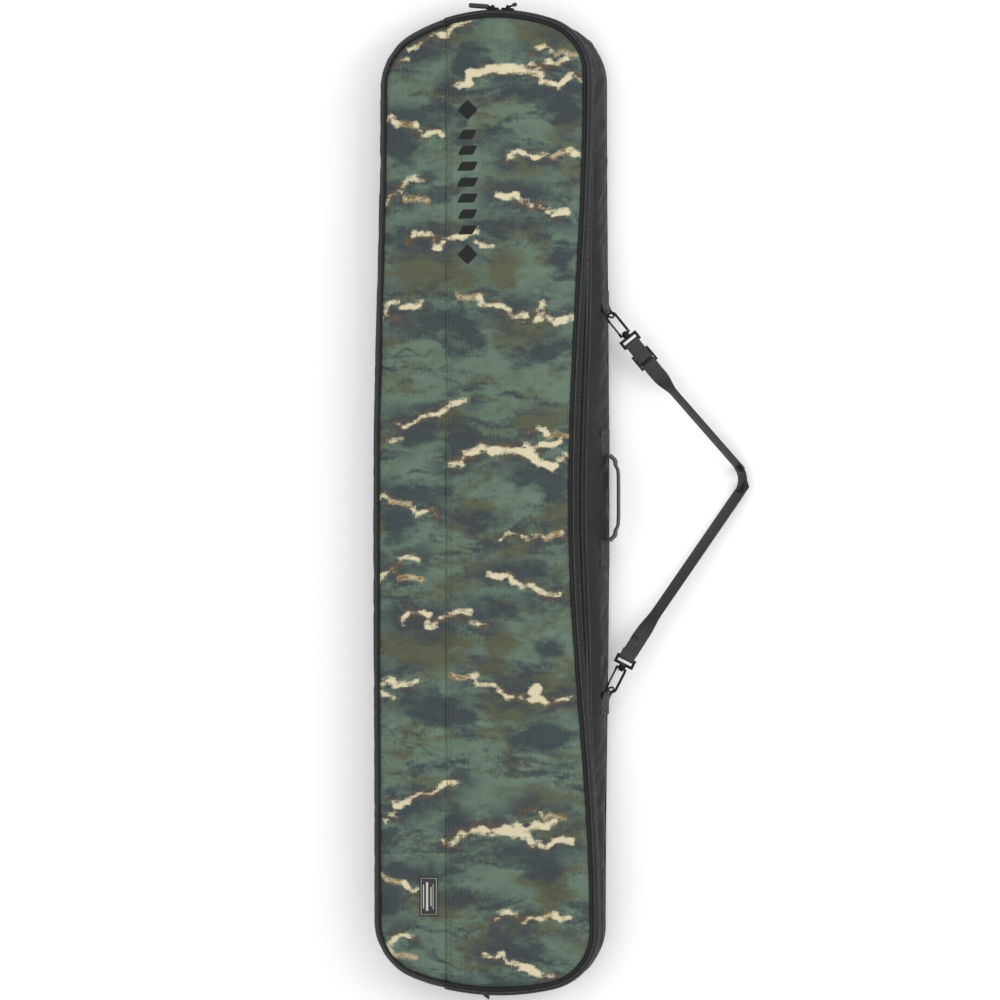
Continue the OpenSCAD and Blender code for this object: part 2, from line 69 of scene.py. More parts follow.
# the bag's two outlines
# Sizes are in metres. A side gives x at the top end, the waist and the bottom end.
# These match the solids at their default sizes and don't follow a change of size.
mm = 0.001
front = {"half": 0.7916, "plus": (0.163, 0.139, 0.174), "minus": (-0.163, -0.175, -0.173),
         "round": (0.272, 0.390), "shift": 0.014, "corner": 0.086}
body = {"half": 0.805, "plus": (0.190, 0.194, 0.188), "minus": (-0.180, -0.192, -0.192),
        "round": (0.286, 0.400), "shift": 0.014, "corner": 0.097}
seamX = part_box("front_panel_wide")[0].x - 0.0005     # the seam that the flap folds on
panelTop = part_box("front_panel_wide")[1].z
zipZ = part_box("zip_coil_lower")[1].z + 0.0005        # the line where the two coils meet


def ease(t):
    return (1 - np.cos(np.pi * np.clip(t, 0, 1))) / 2


def corner(shape, sign, top):
    # where a corner's arc has its centre, and the end arc's centre, radius and last angle
    end = 1 if top else -1
    radius = shape["round"][0 if top else 1]
    endY = end * (shape["half"] - radius)
    x = shape["plus" if sign > 0 else "minus"][0 if top else 2] - sign * shape["corner"]
    rise = math.sqrt((radius - shape["corner"]) ** 2 - (x - shape["shift"]) ** 2)
    return x, endY + end * rise, endY, radius, math.atan2(x - shape["shift"], rise)


def sideX(shape, sign, y, grow=0.0):
    # where a side stands at height y
    widths = shape["plus" if sign > 0 else "minus"]
    y = np.asarray(y, float)
    topReach = corner(shape, sign, True)[1]
    bottomReach = corner(shape, sign, False)[1]
    up = widths[1] + (widths[0] - widths[1]) * ease(y / topReach)
    down = widths[1] + (widths[2] - widths[1]) * ease(y / bottomReach)
    return np.where(y > 0, up, down) + sign * grow


def endY(shape, x, top, grow=0.0):
    # height of an end above a point x
    end = 1 if top else -1
    x = np.asarray(x, float)
    _, _, centreY, radius, _ = corner(shape, 1, top)
    y = centreY + end * np.sqrt(np.maximum((radius + grow) ** 2 - (x - shape["shift"]) ** 2, 0))
    for sign in (-1, 1):
        cx, cy, _, _, _ = corner(shape, sign, top)
        edge = shape["shift"] + (cx - shape["shift"]) * (radius + grow) / (radius - shape["corner"])
        inCorner = (x - edge) * sign > 0
        arc = cy + end * np.sqrt(np.maximum((shape["corner"] + grow) ** 2 - (x - cx) ** 2, 0))
        y = np.where(inCorner, arc, y)
    return y


def arcPoints(cx, cy, end, radius, angles):
    return np.stack([cx + radius * np.sin(angles), cy + end * radius * np.cos(angles)], -1)


runSteps, cornerSteps, endSteps, shortSteps = 270, 24, 46, 20


def sideRing(shape, sign, grow=0.0):
    # one side of an outline, from the seam's top end (sign 1) or bottom end (sign -1) onwards
    parts = []
    first = sign > 0
    steps = endSteps if sign > 0 else shortSteps
    for top in ((True, False) if first else (False, True)):
        end = 1 if top else -1
        cx, cy, centreY, radius, turn = corner(shape, sign, top)
        seam = math.asin((seamX - shape["shift"]) / radius)
        along = np.linspace(seam, turn, steps, endpoint=False)
        round_ = np.linspace(turn, sign * math.pi / 2, cornerSteps)
        endArc = arcPoints(shape["shift"], centreY, end, radius + grow, along)
        cornerArc = arcPoints(cx, cy, end, shape["corner"] + grow, round_)
        piece = np.concatenate([endArc, cornerArc])
        if top == first:
            parts.append(piece)
            y = np.linspace(cy, corner(shape, sign, not top)[1], runSteps)[1:-1]
            parts.append(np.stack([sideX(shape, sign, y, grow), y], -1))
        else:
            parts.append(piece[::-1])
    return np.concatenate(parts)


# mesh helpers
def link(name, vertices, faces, uvs=None, smooth=True):
    mesh = bpy.data.meshes.new(name)
    mesh.from_pydata([tuple(v) for v in vertices], [], faces)
    mesh.polygons.foreach_set("use_smooth", [smooth] * len(mesh.polygons))
    if uvs is not None:
        layer = mesh.uv_layers.new(name="UVMap")
        corners = np.zeros(len(mesh.loops), np.int32)
        mesh.loops.foreach_get("vertex_index", corners)
        layer.data.foreach_set("uv", np.asarray(uvs, float)[corners].ravel())
    piece = bpy.data.objects.new(name, mesh)
    bpy.context.collection.objects.link(piece)
    return piece


def recalculate(piece):
    shape = bmesh.new()
    shape.from_mesh(piece.data)
    bmesh.ops.recalc_face_normals(shape, faces=shape.faces)
    shape.to_mesh(piece.data)
    shape.free()


def shell(name, outer, inner, uv=None):
    # a closed skin between two grids of points (rows, columns, 3)
    rows, columns = outer.shape[:2]
    count = rows * columns
    faces = []
    for r in range(rows - 1):
        for c in range(columns - 1):
            a, b = r * columns + c, (r + 1) * columns + c
            faces.append((a, a + 1, b + 1, b))
            faces.append((count + b, count + b + 1, count + a + 1, count + a))
    rim = [c for c in range(columns)]
    rim += [r * columns + columns - 1 for r in range(1, rows)]
    rim += [(rows - 1) * columns + c for c in range(columns - 2, -1, -1)]
    rim += [r * columns for r in range(rows - 2, 0, -1)]
    for i, a in enumerate(rim):
        b = rim[(i + 1) % len(rim)]
        faces.append((b, a, count + a, count + b))
    points = np.concatenate([outer.reshape(-1, 3), inner.reshape(-1, 3)])
    if uv is None:
        r, c = np.mgrid[0:rows, 0:columns]
        uv = np.stack([c, r], -1).reshape(-1, 2) * 0.005
    piece = link(name, points, faces, np.concatenate([uv.reshape(-1, 2)] * 2))
    recalculate(piece)
    return piece


def sweep(name, path, wide, section, closed=False):
    # a section of (across, up) points carried along a path; wide is the across direction at each point
    path = np.asarray(path, float)
    count = len(path)
    if closed:
        ahead = np.roll(path, -1, 0) - np.roll(path, 1, 0)
    else:
        ahead = np.gradient(path, axis=0)
    ahead /= np.linalg.norm(ahead, axis=1)[:, None]
    wide = np.broadcast_to(np.asarray(wide, float), path.shape)
    wide = wide - ahead * (wide * ahead).sum(1)[:, None]
    wide = wide / np.linalg.norm(wide, axis=1)[:, None]
    up = np.cross(ahead, wide)
    section = np.asarray(section, float)
    ring = len(section)
    points = path[:, None] + wide[:, None] * section[None, :, :1] + up[:, None] * section[None, :, 1:]
    faces = []
    for i in range(count if closed else count - 1):
        j = (i + 1) % count
        for k in range(ring):
            m = (k + 1) % ring
            faces.append((i * ring + k, i * ring + m, j * ring + m, j * ring + k))
    if not closed:
        faces.append(tuple(range(ring))[::-1])
        faces.append(tuple((count - 1) * ring + k for k in range(ring)))
    length = np.concatenate([[0], np.cumsum(np.linalg.norm(np.diff(path, axis=0), axis=1))])
    uv = np.stack([np.broadcast_to(section[None, :, 0], (count, ring)),
                   np.broadcast_to(length[:, None], (count, ring))], -1).reshape(-1, 2)
    piece = link(name, points.reshape(-1, 3), faces, uv)
    recalculate(piece)
    return piece


def rounded(width, thick):
    # the cross-section of a strip of webbing, with softened edges
    r = thick / 2
    points = []
    for sx in (1, -1):
        for a in np.linspace(-90, 90, 5):
            angle = math.radians(a)
            points.append((sx * (width / 2 - r + r * math.cos(angle)), sx * r * math.sin(angle)))
    return points


def tube(radius, count=10):
    return [(radius * math.cos(a), radius * math.sin(a))
            for a in np.linspace(0, 2 * math.pi, count, endpoint=False)]


def curveThrough(points, count):
    # a smooth path through a few points, evenly spaced
    p = np.asarray(points, float)
    p = np.concatenate([[2 * p[0] - p[1]], p, [2 * p[-1] - p[-2]]])
    fine = []
    for i in range(1, len(p) - 2):
        for t in np.linspace(0, 1, 16, endpoint=False):
            a, b, c, d = p[i - 1:i + 3]
            fine.append(0.5 * (2 * b + (c - a) * t + (2 * a - 5 * b + 4 * c - d) * t ** 2
                               + (3 * b - a - 3 * c + d) * t ** 3))
    fine = np.array(fine + [p[-2]])
    step = np.concatenate([[0], np.cumsum(np.linalg.norm(np.diff(fine, axis=0), axis=1))])
    at = np.linspace(0, step[-1], count)
    return np.stack([np.interp(at, step, fine[:, k]) for k in range(fine.shape[1])], -1)


def wave(points, scale, amount, offset=0.0):
    # smooth random push for each point
    return np.array([noise_vector(Vector(p) * scale + Vector((offset, offset, offset)))[0]
                     for p in points.reshape(-1, 3)]).reshape(points.shape[:-1]) * amount


# materials
def colour(text):
    # an sRGB hex colour in linear light
    parts = [int(text[i:i + 2], 16) / 255 for i in (1, 3, 5)]
    return tuple(c / 12.92 if c <= 0.04045 else ((c + 0.055) / 1.055) ** 2.4 for c in parts) + (1,)


def node(tree, kind, links=None, inputs=None, **settings):
    made = tree.nodes.new(kind)
    for key, value in settings.items():
        setattr(made, key, value)
    for key, value in (inputs or {}).items():
        made.inputs[key].default_value = value
    for key, source in (links or {}).items():
        tree.links.new(source, made.inputs[key])
    return made


def newMaterial(name):
    material = bpy.data.materials.new(name)
    material.use_nodes = True
    tree = material.node_tree
    shader = tree.nodes["Principled BSDF"]
    place = node(tree, "ShaderNodeTexCoord")
    return material, tree, shader, place


def maths(tree, operation, a, b=None, clamp=False):
    made = node(tree, "ShaderNodeMath", operation=operation, use_clamp=clamp)
    for socket, value in zip(made.inputs, (a, b)):
        if value is None:
            continue
        if isinstance(value, (int, float)):
            socket.default_value = value
        else:
            tree.links.new(value, socket)
    return made.outputs[0]


def mix(tree, share, a, b):
    made = node(tree, "ShaderNodeMix", data_type="RGBA")
    for socket, value in ((made.inputs[0], share), (made.inputs[6], a), (made.inputs[7], b)):
        if hasattr(value, "is_linked") or hasattr(value, "links"):
            tree.links.new(value, socket)
        else:
            socket.default_value = value
    return made.outputs[2]


def grain(tree, place, size, detail=3.0, socket="Object", rough=0.55):
    # noise whose blotches are about size metres across
    return node(tree, "ShaderNodeTexNoise", {"Vector": place.outputs[socket]},
                {"Scale": 1 / size, "Detail": detail, "Roughness": rough}).outputs["Fac"]


def bands(tree, place, pitch, direction, socket="Object"):
    # even ribs, pitch metres apart
    return node(tree, "ShaderNodeTexWave", {"Vector": place.outputs[socket]},
                {"Scale": math.pi / 10 / pitch, "Distortion": 0.4, "Detail": 1.0, "Detail Scale": 2.0},
                bands_direction=direction).outputs["Fac"]


def bump(tree, shader, heights):
    # several (height, strength, distance) layers on top of each other
    last = None
    for height, strength, distance in heights:
        made = node(tree, "ShaderNodeBump", {"Height": height},
                    {"Strength": strength, "Distance": distance})
        if last is not None:
            tree.links.new(last, made.inputs["Normal"])
        last = made.outputs["Normal"]
    tree.links.new(last, shader.inputs["Normal"])


def clothMaterial(name, dark, light, pitch, rough=0.85, sheen=0.25, socket="Object", strength=0.5):
    # woven cloth: crossed ribs, faint mottling, and a painted highlight on the high threads
    material, tree, shader, place = newMaterial(name)
    blotch = grain(tree, place, 0.05)
    fine = grain(tree, place, 0.004, 2.0)
    warp = bands(tree, place, pitch, "X", socket)
    weft = bands(tree, place, pitch, "Y", socket)
    weave = maths(tree, "MULTIPLY", warp, weft)
    # the high threads of the weave are painted lighter here: a painted highlight
    share = maths(tree, "ADD", maths(tree, "MULTIPLY", blotch, 0.5), maths(tree, "MULTIPLY", weave, 0.45))
    base = mix(tree, share, colour(dark), colour(light))
    tree.links.new(base, shader.inputs["Base Color"])
    tree.links.new(maths(tree, "ADD", maths(tree, "MULTIPLY", fine, 0.15), rough - 0.08),
                   shader.inputs["Roughness"])
    shader.inputs["Sheen Weight"].default_value = sheen
    shader.inputs["Sheen Roughness"].default_value = 0.5
    shader.inputs["Specular IOR Level"].default_value = 0.3
    bump(tree, shader, [(weave, strength, 0.0006), (fine, 0.25, 0.0008), (blotch, 0.2, 0.003)])
    return material


printLook = {"sage": "#6a7e6f", "sageDark": "#536857", "olive": "#5b5c42", "oliveDark": "#454632",
             "slate": "#3a444b", "slateDark": "#293136", "cream": "#d6ccab", "ochre": "#8a6b3c"}


def printedCanvas():
    # ribbed polyester canvas with a printed wave camouflage; masks are painted on the mesh as distances
    material, tree, shader, place = newMaterial("printed polyester canvas")
    stretch = node(tree, "ShaderNodeMapping", {"Vector": place.outputs["Object"]},
                   {"Scale": (1.0, 1.9, 1.0)})
    torn = node(tree, "ShaderNodeTexNoise", {"Vector": stretch.outputs[0]},
                {"Scale": 75.0, "Detail": 5.0, "Roughness": 0.6}).outputs["Fac"]
    wide = node(tree, "ShaderNodeTexNoise", {"Vector": stretch.outputs[0]},
                {"Scale": 24.0, "Detail": 4.0, "Roughness": 0.55}).outputs["Fac"]
    streaky = node(tree, "ShaderNodeTexNoise", {"Vector": stretch.outputs[0]},
                   {"Scale": 130.0, "Detail": 3.0, "Roughness": 0.6}).outputs["Fac"]

    def mask(name, noise, reach, soft):
        # inside where the painted distance plus a torn edge is below nothing
        distance = node(tree, "ShaderNodeAttribute", attribute_name=name).outputs["Fac"]
        push = maths(tree, "MULTIPLY", maths(tree, "SUBTRACT", noise, 0.5), reach)
        edge = maths(tree, "ADD", distance, push)
        return maths(tree, "SUBTRACT", 0.5, maths(tree, "DIVIDE", edge, soft), clamp=True)

    brushMap = node(tree, "ShaderNodeMapping", {"Vector": place.outputs["Object"]},
                    {"Scale": (1.0, 0.22, 1.0)})
    brush = node(tree, "ShaderNodeTexNoise", {"Vector": brushMap.outputs[0]},
                 {"Scale": 420.0, "Detail": 3.0, "Roughness": 0.6}).outputs["Fac"]
    cloudMap = node(tree, "ShaderNodeMapping", {"Vector": place.outputs["Object"]},
                    {"Scale": (0.8, 2.0, 1.0), "Location": (0.37, 0.11, 0.0)})
    cloud = node(tree, "ShaderNodeTexNoise", {"Vector": cloudMap.outputs[0]},
                 {"Scale": 9.5, "Detail": 5.0, "Roughness": 0.6, "Distortion": 0.6}).outputs["Fac"]
    driftMap = node(tree, "ShaderNodeMapping", {"Vector": place.outputs["Object"]},
                    {"Scale": (0.9, 2.2, 1.0), "Location": (1.9, 2.3, 0.7)})
    drift = node(tree, "ShaderNodeTexNoise", {"Vector": driftMap.outputs[0]},
                 {"Scale": 11.0, "Detail": 5.0, "Roughness": 0.62, "Distortion": 0.6}).outputs["Fac"]
    feather = maths(tree, "ADD", maths(tree, "MULTIPLY", torn, 0.55), maths(tree, "MULTIPLY", brush, 0.45))

    softEdge = maths(tree, "ADD", maths(tree, "MULTIPLY", torn, 0.8), maths(tree, "MULTIPLY", brush, 0.2))

    def above(value, start, soft):
        return maths(tree, "DIVIDE", maths(tree, "SUBTRACT", value, start), soft, clamp=True)

    def nearby(name, reach):
        # strongest on a streak and gone reach metres away from it
        distance = node(tree, "ShaderNodeAttribute", attribute_name=name).outputs["Fac"]
        return maths(tree, "SUBTRACT", 1.0, maths(tree, "DIVIDE", distance, reach), clamp=True)

    sage = mix(tree, wide, colour(printLook["sageDark"]), colour(printLook["sage"]))
    olive = mix(tree, streaky, colour(printLook["oliveDark"]), colour(printLook["olive"]))
    slate = mix(tree, streaky, colour(printLook["slateDark"]), colour(printLook["slate"]))
    ragged = maths(tree, "MULTIPLY", maths(tree, "SUBTRACT", feather, 0.5), 0.35)
    cloudy = above(maths(tree, "ADD", cloud, ragged), 0.490, 0.13)
    ground = mix(tree, maths(tree, "MULTIPLY", cloudy, 0.85), sage, olive)
    drifting = above(maths(tree, "ADD", drift, ragged), 0.525, 0.11)
    ground = mix(tree, maths(tree, "MULTIPLY", drifting, 0.88), ground, slate)
    ground = mix(tree, maths(tree, "MULTIPLY", mask("olive", wide, 0.080, 0.022), 0.85), ground, olive)
    ground = mix(tree, maths(tree, "MULTIPLY", mask("slate", wide, 0.085, 0.018), 0.92), ground, slate)
    broad = above(maths(tree, "ADD", wide, ragged), 0.43, 0.14)
    shadow = maths(tree, "MULTIPLY", nearby("cream", 0.045), broad)
    ground = mix(tree, maths(tree, "MULTIPLY", shadow, 1.0, clamp=True), ground, slate)
    ground = mix(tree, maths(tree, "MULTIPLY", mask("dark", torn, 0.014, 0.004), 0.75), ground,
                 colour("#343a2c"))
    glow = maths(tree, "MULTIPLY", mask("cream", softEdge, 0.030, 0.014), above(wide, 0.45, 0.12))
    ground = mix(tree, maths(tree, "MULTIPLY", glow, 0.45), ground, colour(printLook["ochre"]))
    ground = mix(tree, maths(tree, "MULTIPLY", mask("ochre", softEdge, 0.020, 0.007), 0.75), ground,
                 colour(printLook["ochre"]))
    core = maths(tree, "MULTIPLY", mask("ochre", softEdge, 0.022, 0.005), above(torn, 0.42, 0.10))
    ground = mix(tree, maths(tree, "MULTIPLY", core, 0.65), ground, colour(printLook["cream"]))
    thinned = maths(tree, "ADD", softEdge, maths(tree, "MULTIPLY", maths(tree, "SUBTRACT", wide, 0.43), 1.3))
    ground = mix(tree, mask("cream", thinned, 0.020, 0.0046), ground, colour(printLook["cream"]))
    ground = mix(tree, mask("mark", torn, 0.0, 0.0012), ground, colour("#131415"))
    ribs = bands(tree, place, 0.0042, "X")      # real ribs are about 1.5 mm; coarsened to be seen
    threads = bands(tree, place, 0.0026, "Y")
    fine = grain(tree, place, 0.003, 2.0)
    dusty = grain(tree, place, 0.18, 4.0)
    shade = maths(tree, "ADD", maths(tree, "MULTIPLY", ribs, 0.09), maths(tree, "MULTIPLY", dusty, 0.16))
    ground = mix(tree, maths(tree, "ADD", shade, -0.03, clamp=True), ground, colour("#202622"))
    tree.links.new(ground, shader.inputs["Base Color"])
    tree.links.new(maths(tree, "ADD", maths(tree, "MULTIPLY", fine, 0.14), 0.72),
                   shader.inputs["Roughness"])
    shader.inputs["Sheen Weight"].default_value = 0.08
    shader.inputs["Specular IOR Level"].default_value = 0.35
    bump(tree, shader, [(ribs, 0.45, 0.0007), (threads, 0.15, 0.0005), (fine, 0.2, 0.0006)])
    return material


def webbingMaterial(name, dark, light):
    # nylon webbing: small chevrons across the width and ribs along the edge, mapped by length
    material, tree, shader, place = newMaterial(name)
    across = bands(tree, place, 0.0026, "X", "UV")
    along = bands(tree, place, 0.0024, "Y", "UV")
    weave = maths(tree, "MULTIPLY", across, along)
    fine = grain(tree, place, 0.004)
    base = mix(tree, maths(tree, "ADD", maths(tree, "MULTIPLY", weave, 0.6),
                           maths(tree, "MULTIPLY", fine, 0.4)), colour(dark), colour(light))
    tree.links.new(base, shader.inputs["Base Color"])
    tree.links.new(maths(tree, "ADD", maths(tree, "MULTIPLY", fine, 0.2), 0.5), shader.inputs["Roughness"])
    shader.inputs["Sheen Weight"].default_value = 0.08
    bump(tree, shader, [(weave, 0.7, 0.0007), (fine, 0.2, 0.0005)])
    return material


def metalMaterial():
    # black-coated die-cast zinc: satin coat, rubbed paler in patches
    material, tree, shader, place = newMaterial("black-coated zinc")
    worn = grain(tree, place, 0.009, 6.0)
    fine = grain(tree, place, 0.0012, 2.0)
    rubbed = maths(tree, "MULTIPLY", maths(tree, "SUBTRACT", worn, 0.58, clamp=True), 2.2)
    base = mix(tree, rubbed, colour("#1c1d20"), colour("#6d6f72"))
    tree.links.new(base, shader.inputs["Base Color"])
    shader.inputs["Metallic"].default_value = 0.85
    tree.links.new(maths(tree, "ADD", maths(tree, "MULTIPLY", worn, 0.25), 0.20), shader.inputs["Roughness"])
    bump(tree, shader, [(fine, 0.12, 0.0002)])
    return material


def coilMaterial():
    # polyester coil: smooth black plastic with a slight gloss
    material, tree, shader, place = newMaterial("black polyester coil")
    fine = grain(tree, place, 0.01, 4.0)
    tree.links.new(mix(tree, fine, colour("#2b2e2e"), colour("#565a58")), shader.inputs["Base Color"])
    tree.links.new(maths(tree, "ADD", maths(tree, "MULTIPLY", fine, 0.2), 0.28), shader.inputs["Roughness"])
    bump(tree, shader, [(grain(tree, place, 0.002), 0.15, 0.0002)])
    return material


def threadMaterial(name, text):
    # twisted sewing thread
    material, tree, shader, place = newMaterial(name)
    twist = bands(tree, place, 0.0012, "DIAGONAL")
    tree.links.new(mix(tree, twist, colour(text), colour("#77786c")), shader.inputs["Base Color"])
    shader.inputs["Roughness"].default_value = 0.6
    bump(tree, shader, [(twist, 0.3, 0.0002)])
    return material


def labelMaterial():
    # damask label: satin black ground, white border and plain woven bars
    material, tree, shader, place = newMaterial("woven damask label")
    split = node(tree, "ShaderNodeSeparateXYZ", {"Vector": place.outputs["UV"]})
    x, y = split.outputs[0], split.outputs[1]
    nearX = maths(tree, "ABSOLUTE", maths(tree, "SUBTRACT", x, 0.5))
    nearY = maths(tree, "ABSOLUTE", maths(tree, "SUBTRACT", y, 0.5))

    def inFrame(reachX, reachY):
        insideX = maths(tree, "LESS_THAN", nearX, reachX)
        insideY = maths(tree, "LESS_THAN", nearY, reachY)
        return maths(tree, "MULTIPLY", insideX, insideY)

    outer = inFrame(0.415, 0.458)
    inner = inFrame(0.395, 0.452)
    border = maths(tree, "SUBTRACT", outer, inner)
    bars = 0.0
    for low, high, reach in ((0.20, 0.25, 0.30), (0.36, 0.47, 0.36), (0.60, 0.65, 0.24), (0.72, 0.75, 0.32)):
        aboveLow = maths(tree, "GREATER_THAN", x, low)
        inBar = maths(tree, "MULTIPLY", aboveLow, maths(tree, "LESS_THAN", x, high))
        inBar = maths(tree, "MULTIPLY", inBar, maths(tree, "LESS_THAN", nearY, reach))
        bars = inBar if bars == 0.0 else maths(tree, "MAXIMUM", bars, inBar)
    ink = maths(tree, "MAXIMUM", border, bars)
    fine = grain(tree, place, 0.0015, 2.0)
    satin = mix(tree, fine, colour("#0c0c0d"), colour("#242426"))
    base = mix(tree, maths(tree, "MULTIPLY", ink, 0.9), satin, colour("#c4c4bc"))
    tree.links.new(base, shader.inputs["Base Color"])
    shader.inputs["Roughness"].default_value = 0.45
    bump(tree, shader, [(bands(tree, place, 0.0016, "X"), 0.3, 0.0003), (ink, 0.3, 0.0002)])
    return material


materials = {
    "print": printedCanvas(),
    "wall": clothMaterial("charcoal polyester canvas", "#151518", "#303035", 0.0026, 0.75, 0.06),
    "strip": clothMaterial("charcoal flap edge canvas", "#161719", "#2c2d31", 0.0024, 0.75, 0.05),
    "back": clothMaterial("black coated base cloth", "#1a1a1c", "#38383c", 0.0030, 0.7),
    "lining": clothMaterial("grey nylon lining", "#2f2f32", "#515156", 0.0022, 0.6),
    "piping": clothMaterial("black piping cloth", "#09090a", "#1b1b1e", 0.0018, 0.6, 0.05),
    "tape": clothMaterial("black zipper tape", "#0d0d0f", "#232327", 0.0016, 0.7, 0.05),
    "webbing": webbingMaterial("charcoal nylon webbing", "#141415", "#323235"),
    "blackWebbing": webbingMaterial("black nylon webbing", "#0c0c0e", "#26262a"),
    "pull": webbingMaterial("rubbed cord tube", "#111113", "#4a4a4a"),
    "metal": metalMaterial(),
    "coil": coilMaterial(),
    "thread": threadMaterial("olive thread", "#3a4034"),
    "blackThread": threadMaterial("black thread", "#0d0d0f"),
    "label": labelMaterial(),
}


def finishPiece(piece, material, rideOn, slotName, *nodes):
    piece.data.materials.clear()
    piece.data.materials.append(materials[material])
    if rideOn:
        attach(piece, rideOn)
    if nodes:
        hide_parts(*nodes)
    return piece


# repeated pieces along a line, made with geometry nodes
def barItem(name, length, width, height):
    # one stitch or zipper tooth: a bar with rounded ends
    shape = bmesh.new()
    bmesh.ops.create_cube(shape, size=1)
    bmesh.ops.scale(shape, vec=(length, width, height), verts=shape.verts)
    bmesh.ops.bevel(shape, geom=shape.edges[:], offset=min(width, height) * 0.3, segments=1, affect="EDGES")
    mesh = bpy.data.meshes.new(name)
    shape.to_mesh(mesh)
    shape.free()
    item = bpy.data.objects.new(name, mesh)
    bpy.context.collection.objects.link(item)
    return item


def repeatTree():
    tree = bpy.data.node_groups.new("repeat along line", "GeometryNodeTree")
    for name, kind in (("Geometry", "NodeSocketGeometry"), ("Item", "NodeSocketObject"),
                       ("Pitch", "NodeSocketFloat"), ("Material", "NodeSocketMaterial"),
                       ("Unevenness", "NodeSocketFloat"), ("Seed", "NodeSocketInt")):
        tree.interface.new_socket(name, in_out="INPUT", socket_type=kind)
    tree.interface.new_socket("Geometry", in_out="OUTPUT", socket_type="NodeSocketGeometry")
    given = node(tree, "NodeGroupInput")
    facing = node(tree, "GeometryNodeInputNamedAttribute", inputs={"Name": "facing"},
                  data_type="FLOAT_VECTOR")
    line = node(tree, "GeometryNodeMeshToCurve", {"Mesh": given.outputs["Geometry"]})
    spaced = node(tree, "GeometryNodeResampleCurve",
                  {"Curve": line.outputs[0], "Length": given.outputs["Pitch"]}, mode="LENGTH")
    tangent = node(tree, "GeometryNodeInputTangent")
    upright = node(tree, "FunctionNodeAlignRotationToVector",
                   {"Vector": facing.outputs["Attribute"]}, axis="Z")
    turned = node(tree, "FunctionNodeAlignRotationToVector",
                  {"Rotation": upright.outputs[0], "Vector": tangent.outputs[0]}, axis="X", pivot_axis="Z")
    item = node(tree, "GeometryNodeObjectInfo", {"Object": given.outputs["Item"]}, {"As Instance": True})
    low = maths(tree, "SUBTRACT", 1.0, given.outputs["Unevenness"])
    high = maths(tree, "ADD", 1.0, given.outputs["Unevenness"])
    spread = node(tree, "FunctionNodeRandomValue", {"Min": low, "Max": high, "Seed": given.outputs["Seed"]},
                  data_type="FLOAT")
    for socket, source in ((spread.inputs[2], low), (spread.inputs[3], high)):
        tree.links.new(source, socket)
    placed = node(tree, "GeometryNodeInstanceOnPoints",
                  {"Points": spaced.outputs[0], "Instance": item.outputs["Geometry"],
                   "Rotation": turned.outputs[0], "Scale": spread.outputs[1]})
    real = node(tree, "GeometryNodeRealizeInstances", {"Geometry": placed.outputs[0]})
    painted = node(tree, "GeometryNodeSetMaterial",
                   {"Geometry": real.outputs[0], "Material": given.outputs["Material"]})
    node(tree, "NodeGroupOutput", {"Geometry": painted.outputs[0]})
    return tree


repeatGroup = repeatTree()


def repeatAlong(name, lines, pitch, itemSize, material, unevenness=0.05, seed=3):
    # lines are (path, facing) pairs of equal length; one plain mesh comes back
    vertices, edges, facings = [], [], []
    for path, facing in lines:
        start = len(vertices)
        vertices += [tuple(p) for p in path]
        edges += [(start + i, start + i + 1) for i in range(len(path) - 1)]
        facings.append(np.broadcast_to(np.asarray(facing, float), np.shape(path)))
    mesh = bpy.data.meshes.new(name + "Line")
    mesh.from_pydata(vertices, edges, [])
    mesh.attributes.new("facing", "FLOAT_VECTOR", "POINT").data.foreach_set(
        "vector", np.concatenate(facings).ravel())
    carrier = bpy.data.objects.new(name + "Line", mesh)
    bpy.context.collection.objects.link(carrier)
    item = barItem(name + "Item", *itemSize)
    modifier = carrier.modifiers.new("repeat", "NODES")
    modifier.node_group = repeatGroup
    given = {"Item": item, "Pitch": pitch, "Material": materials[material],
             "Unevenness": unevenness, "Seed": seed}
    for socket in repeatGroup.interface.items_tree:
        if socket.in_out == "INPUT" and socket.name in given:
            modifier[socket.identifier] = given[socket.name]
    bpy.context.view_layer.update()
    result = carrier.evaluated_get(bpy.context.evaluated_depsgraph_get())
    made = bpy.data.meshes.new_from_object(result)
    made.name = name
    piece = bpy.data.objects.new(name, made)
    bpy.context.collection.objects.link(piece)
    bpy.data.objects.remove(carrier)
    bpy.data.objects.remove(item)
    piece.data.polygons.foreach_set("use_smooth", [True] * len(piece.data.polygons))
    return piece


# outline bands used by several pieces
def level(shape, sign, z, grow):
    points = sideRing(shape, sign, grow)
    return np.concatenate([points, np.full((len(points), 1), z)], 1)


frontLine = level(front, 1, 0, 0)
bodyLine = level(body, 1, 0, 0)
slopeWidth = np.linalg.norm(bodyLine - frontLine, axis=1)
# 0 at the ends, where the zipper stands upright, and 1 along the waist, where it lies on a slope
slope = ease((slopeWidth - 0.026) / 0.026)[:, None]


def between(a, b):
    return a + (b - a) * slope


zipTop = between(level(front, 1, zipZ + 0.0048, 0.0134), level(front, 1, panelTop - 0.0082, 0.0118))
zipBottom = between(level(front, 1, zipZ - 0.0048, 0.0138), level(front, 1, panelTop - 0.0140, 0.0232))
zipMiddle = (zipTop + zipBottom) / 2


def bandNormals(a, b):
    # directions square to a band that runs between two lines
    ahead = np.gradient((a + b) / 2, axis=0)
    n = np.cross(b - a, ahead)
    n /= np.linalg.norm(n, axis=1)[:, None]
    outward = (a + b) / 2 - np.array([0, 0, -1.0])
    return n * np.sign((n * outward).sum(1))[:, None]


zipFacing = bandNormals(zipTop, zipBottom)


def band(name, rows, thick, push=0.0):
    # a strip of cloth through several lines of points
    grid = np.stack(rows)
    normals = bandNormals(grid[0], grid[-1])
    outer = grid + normals * push
    return shell(name, outer, outer - normals * thick)


print("helpers ready")

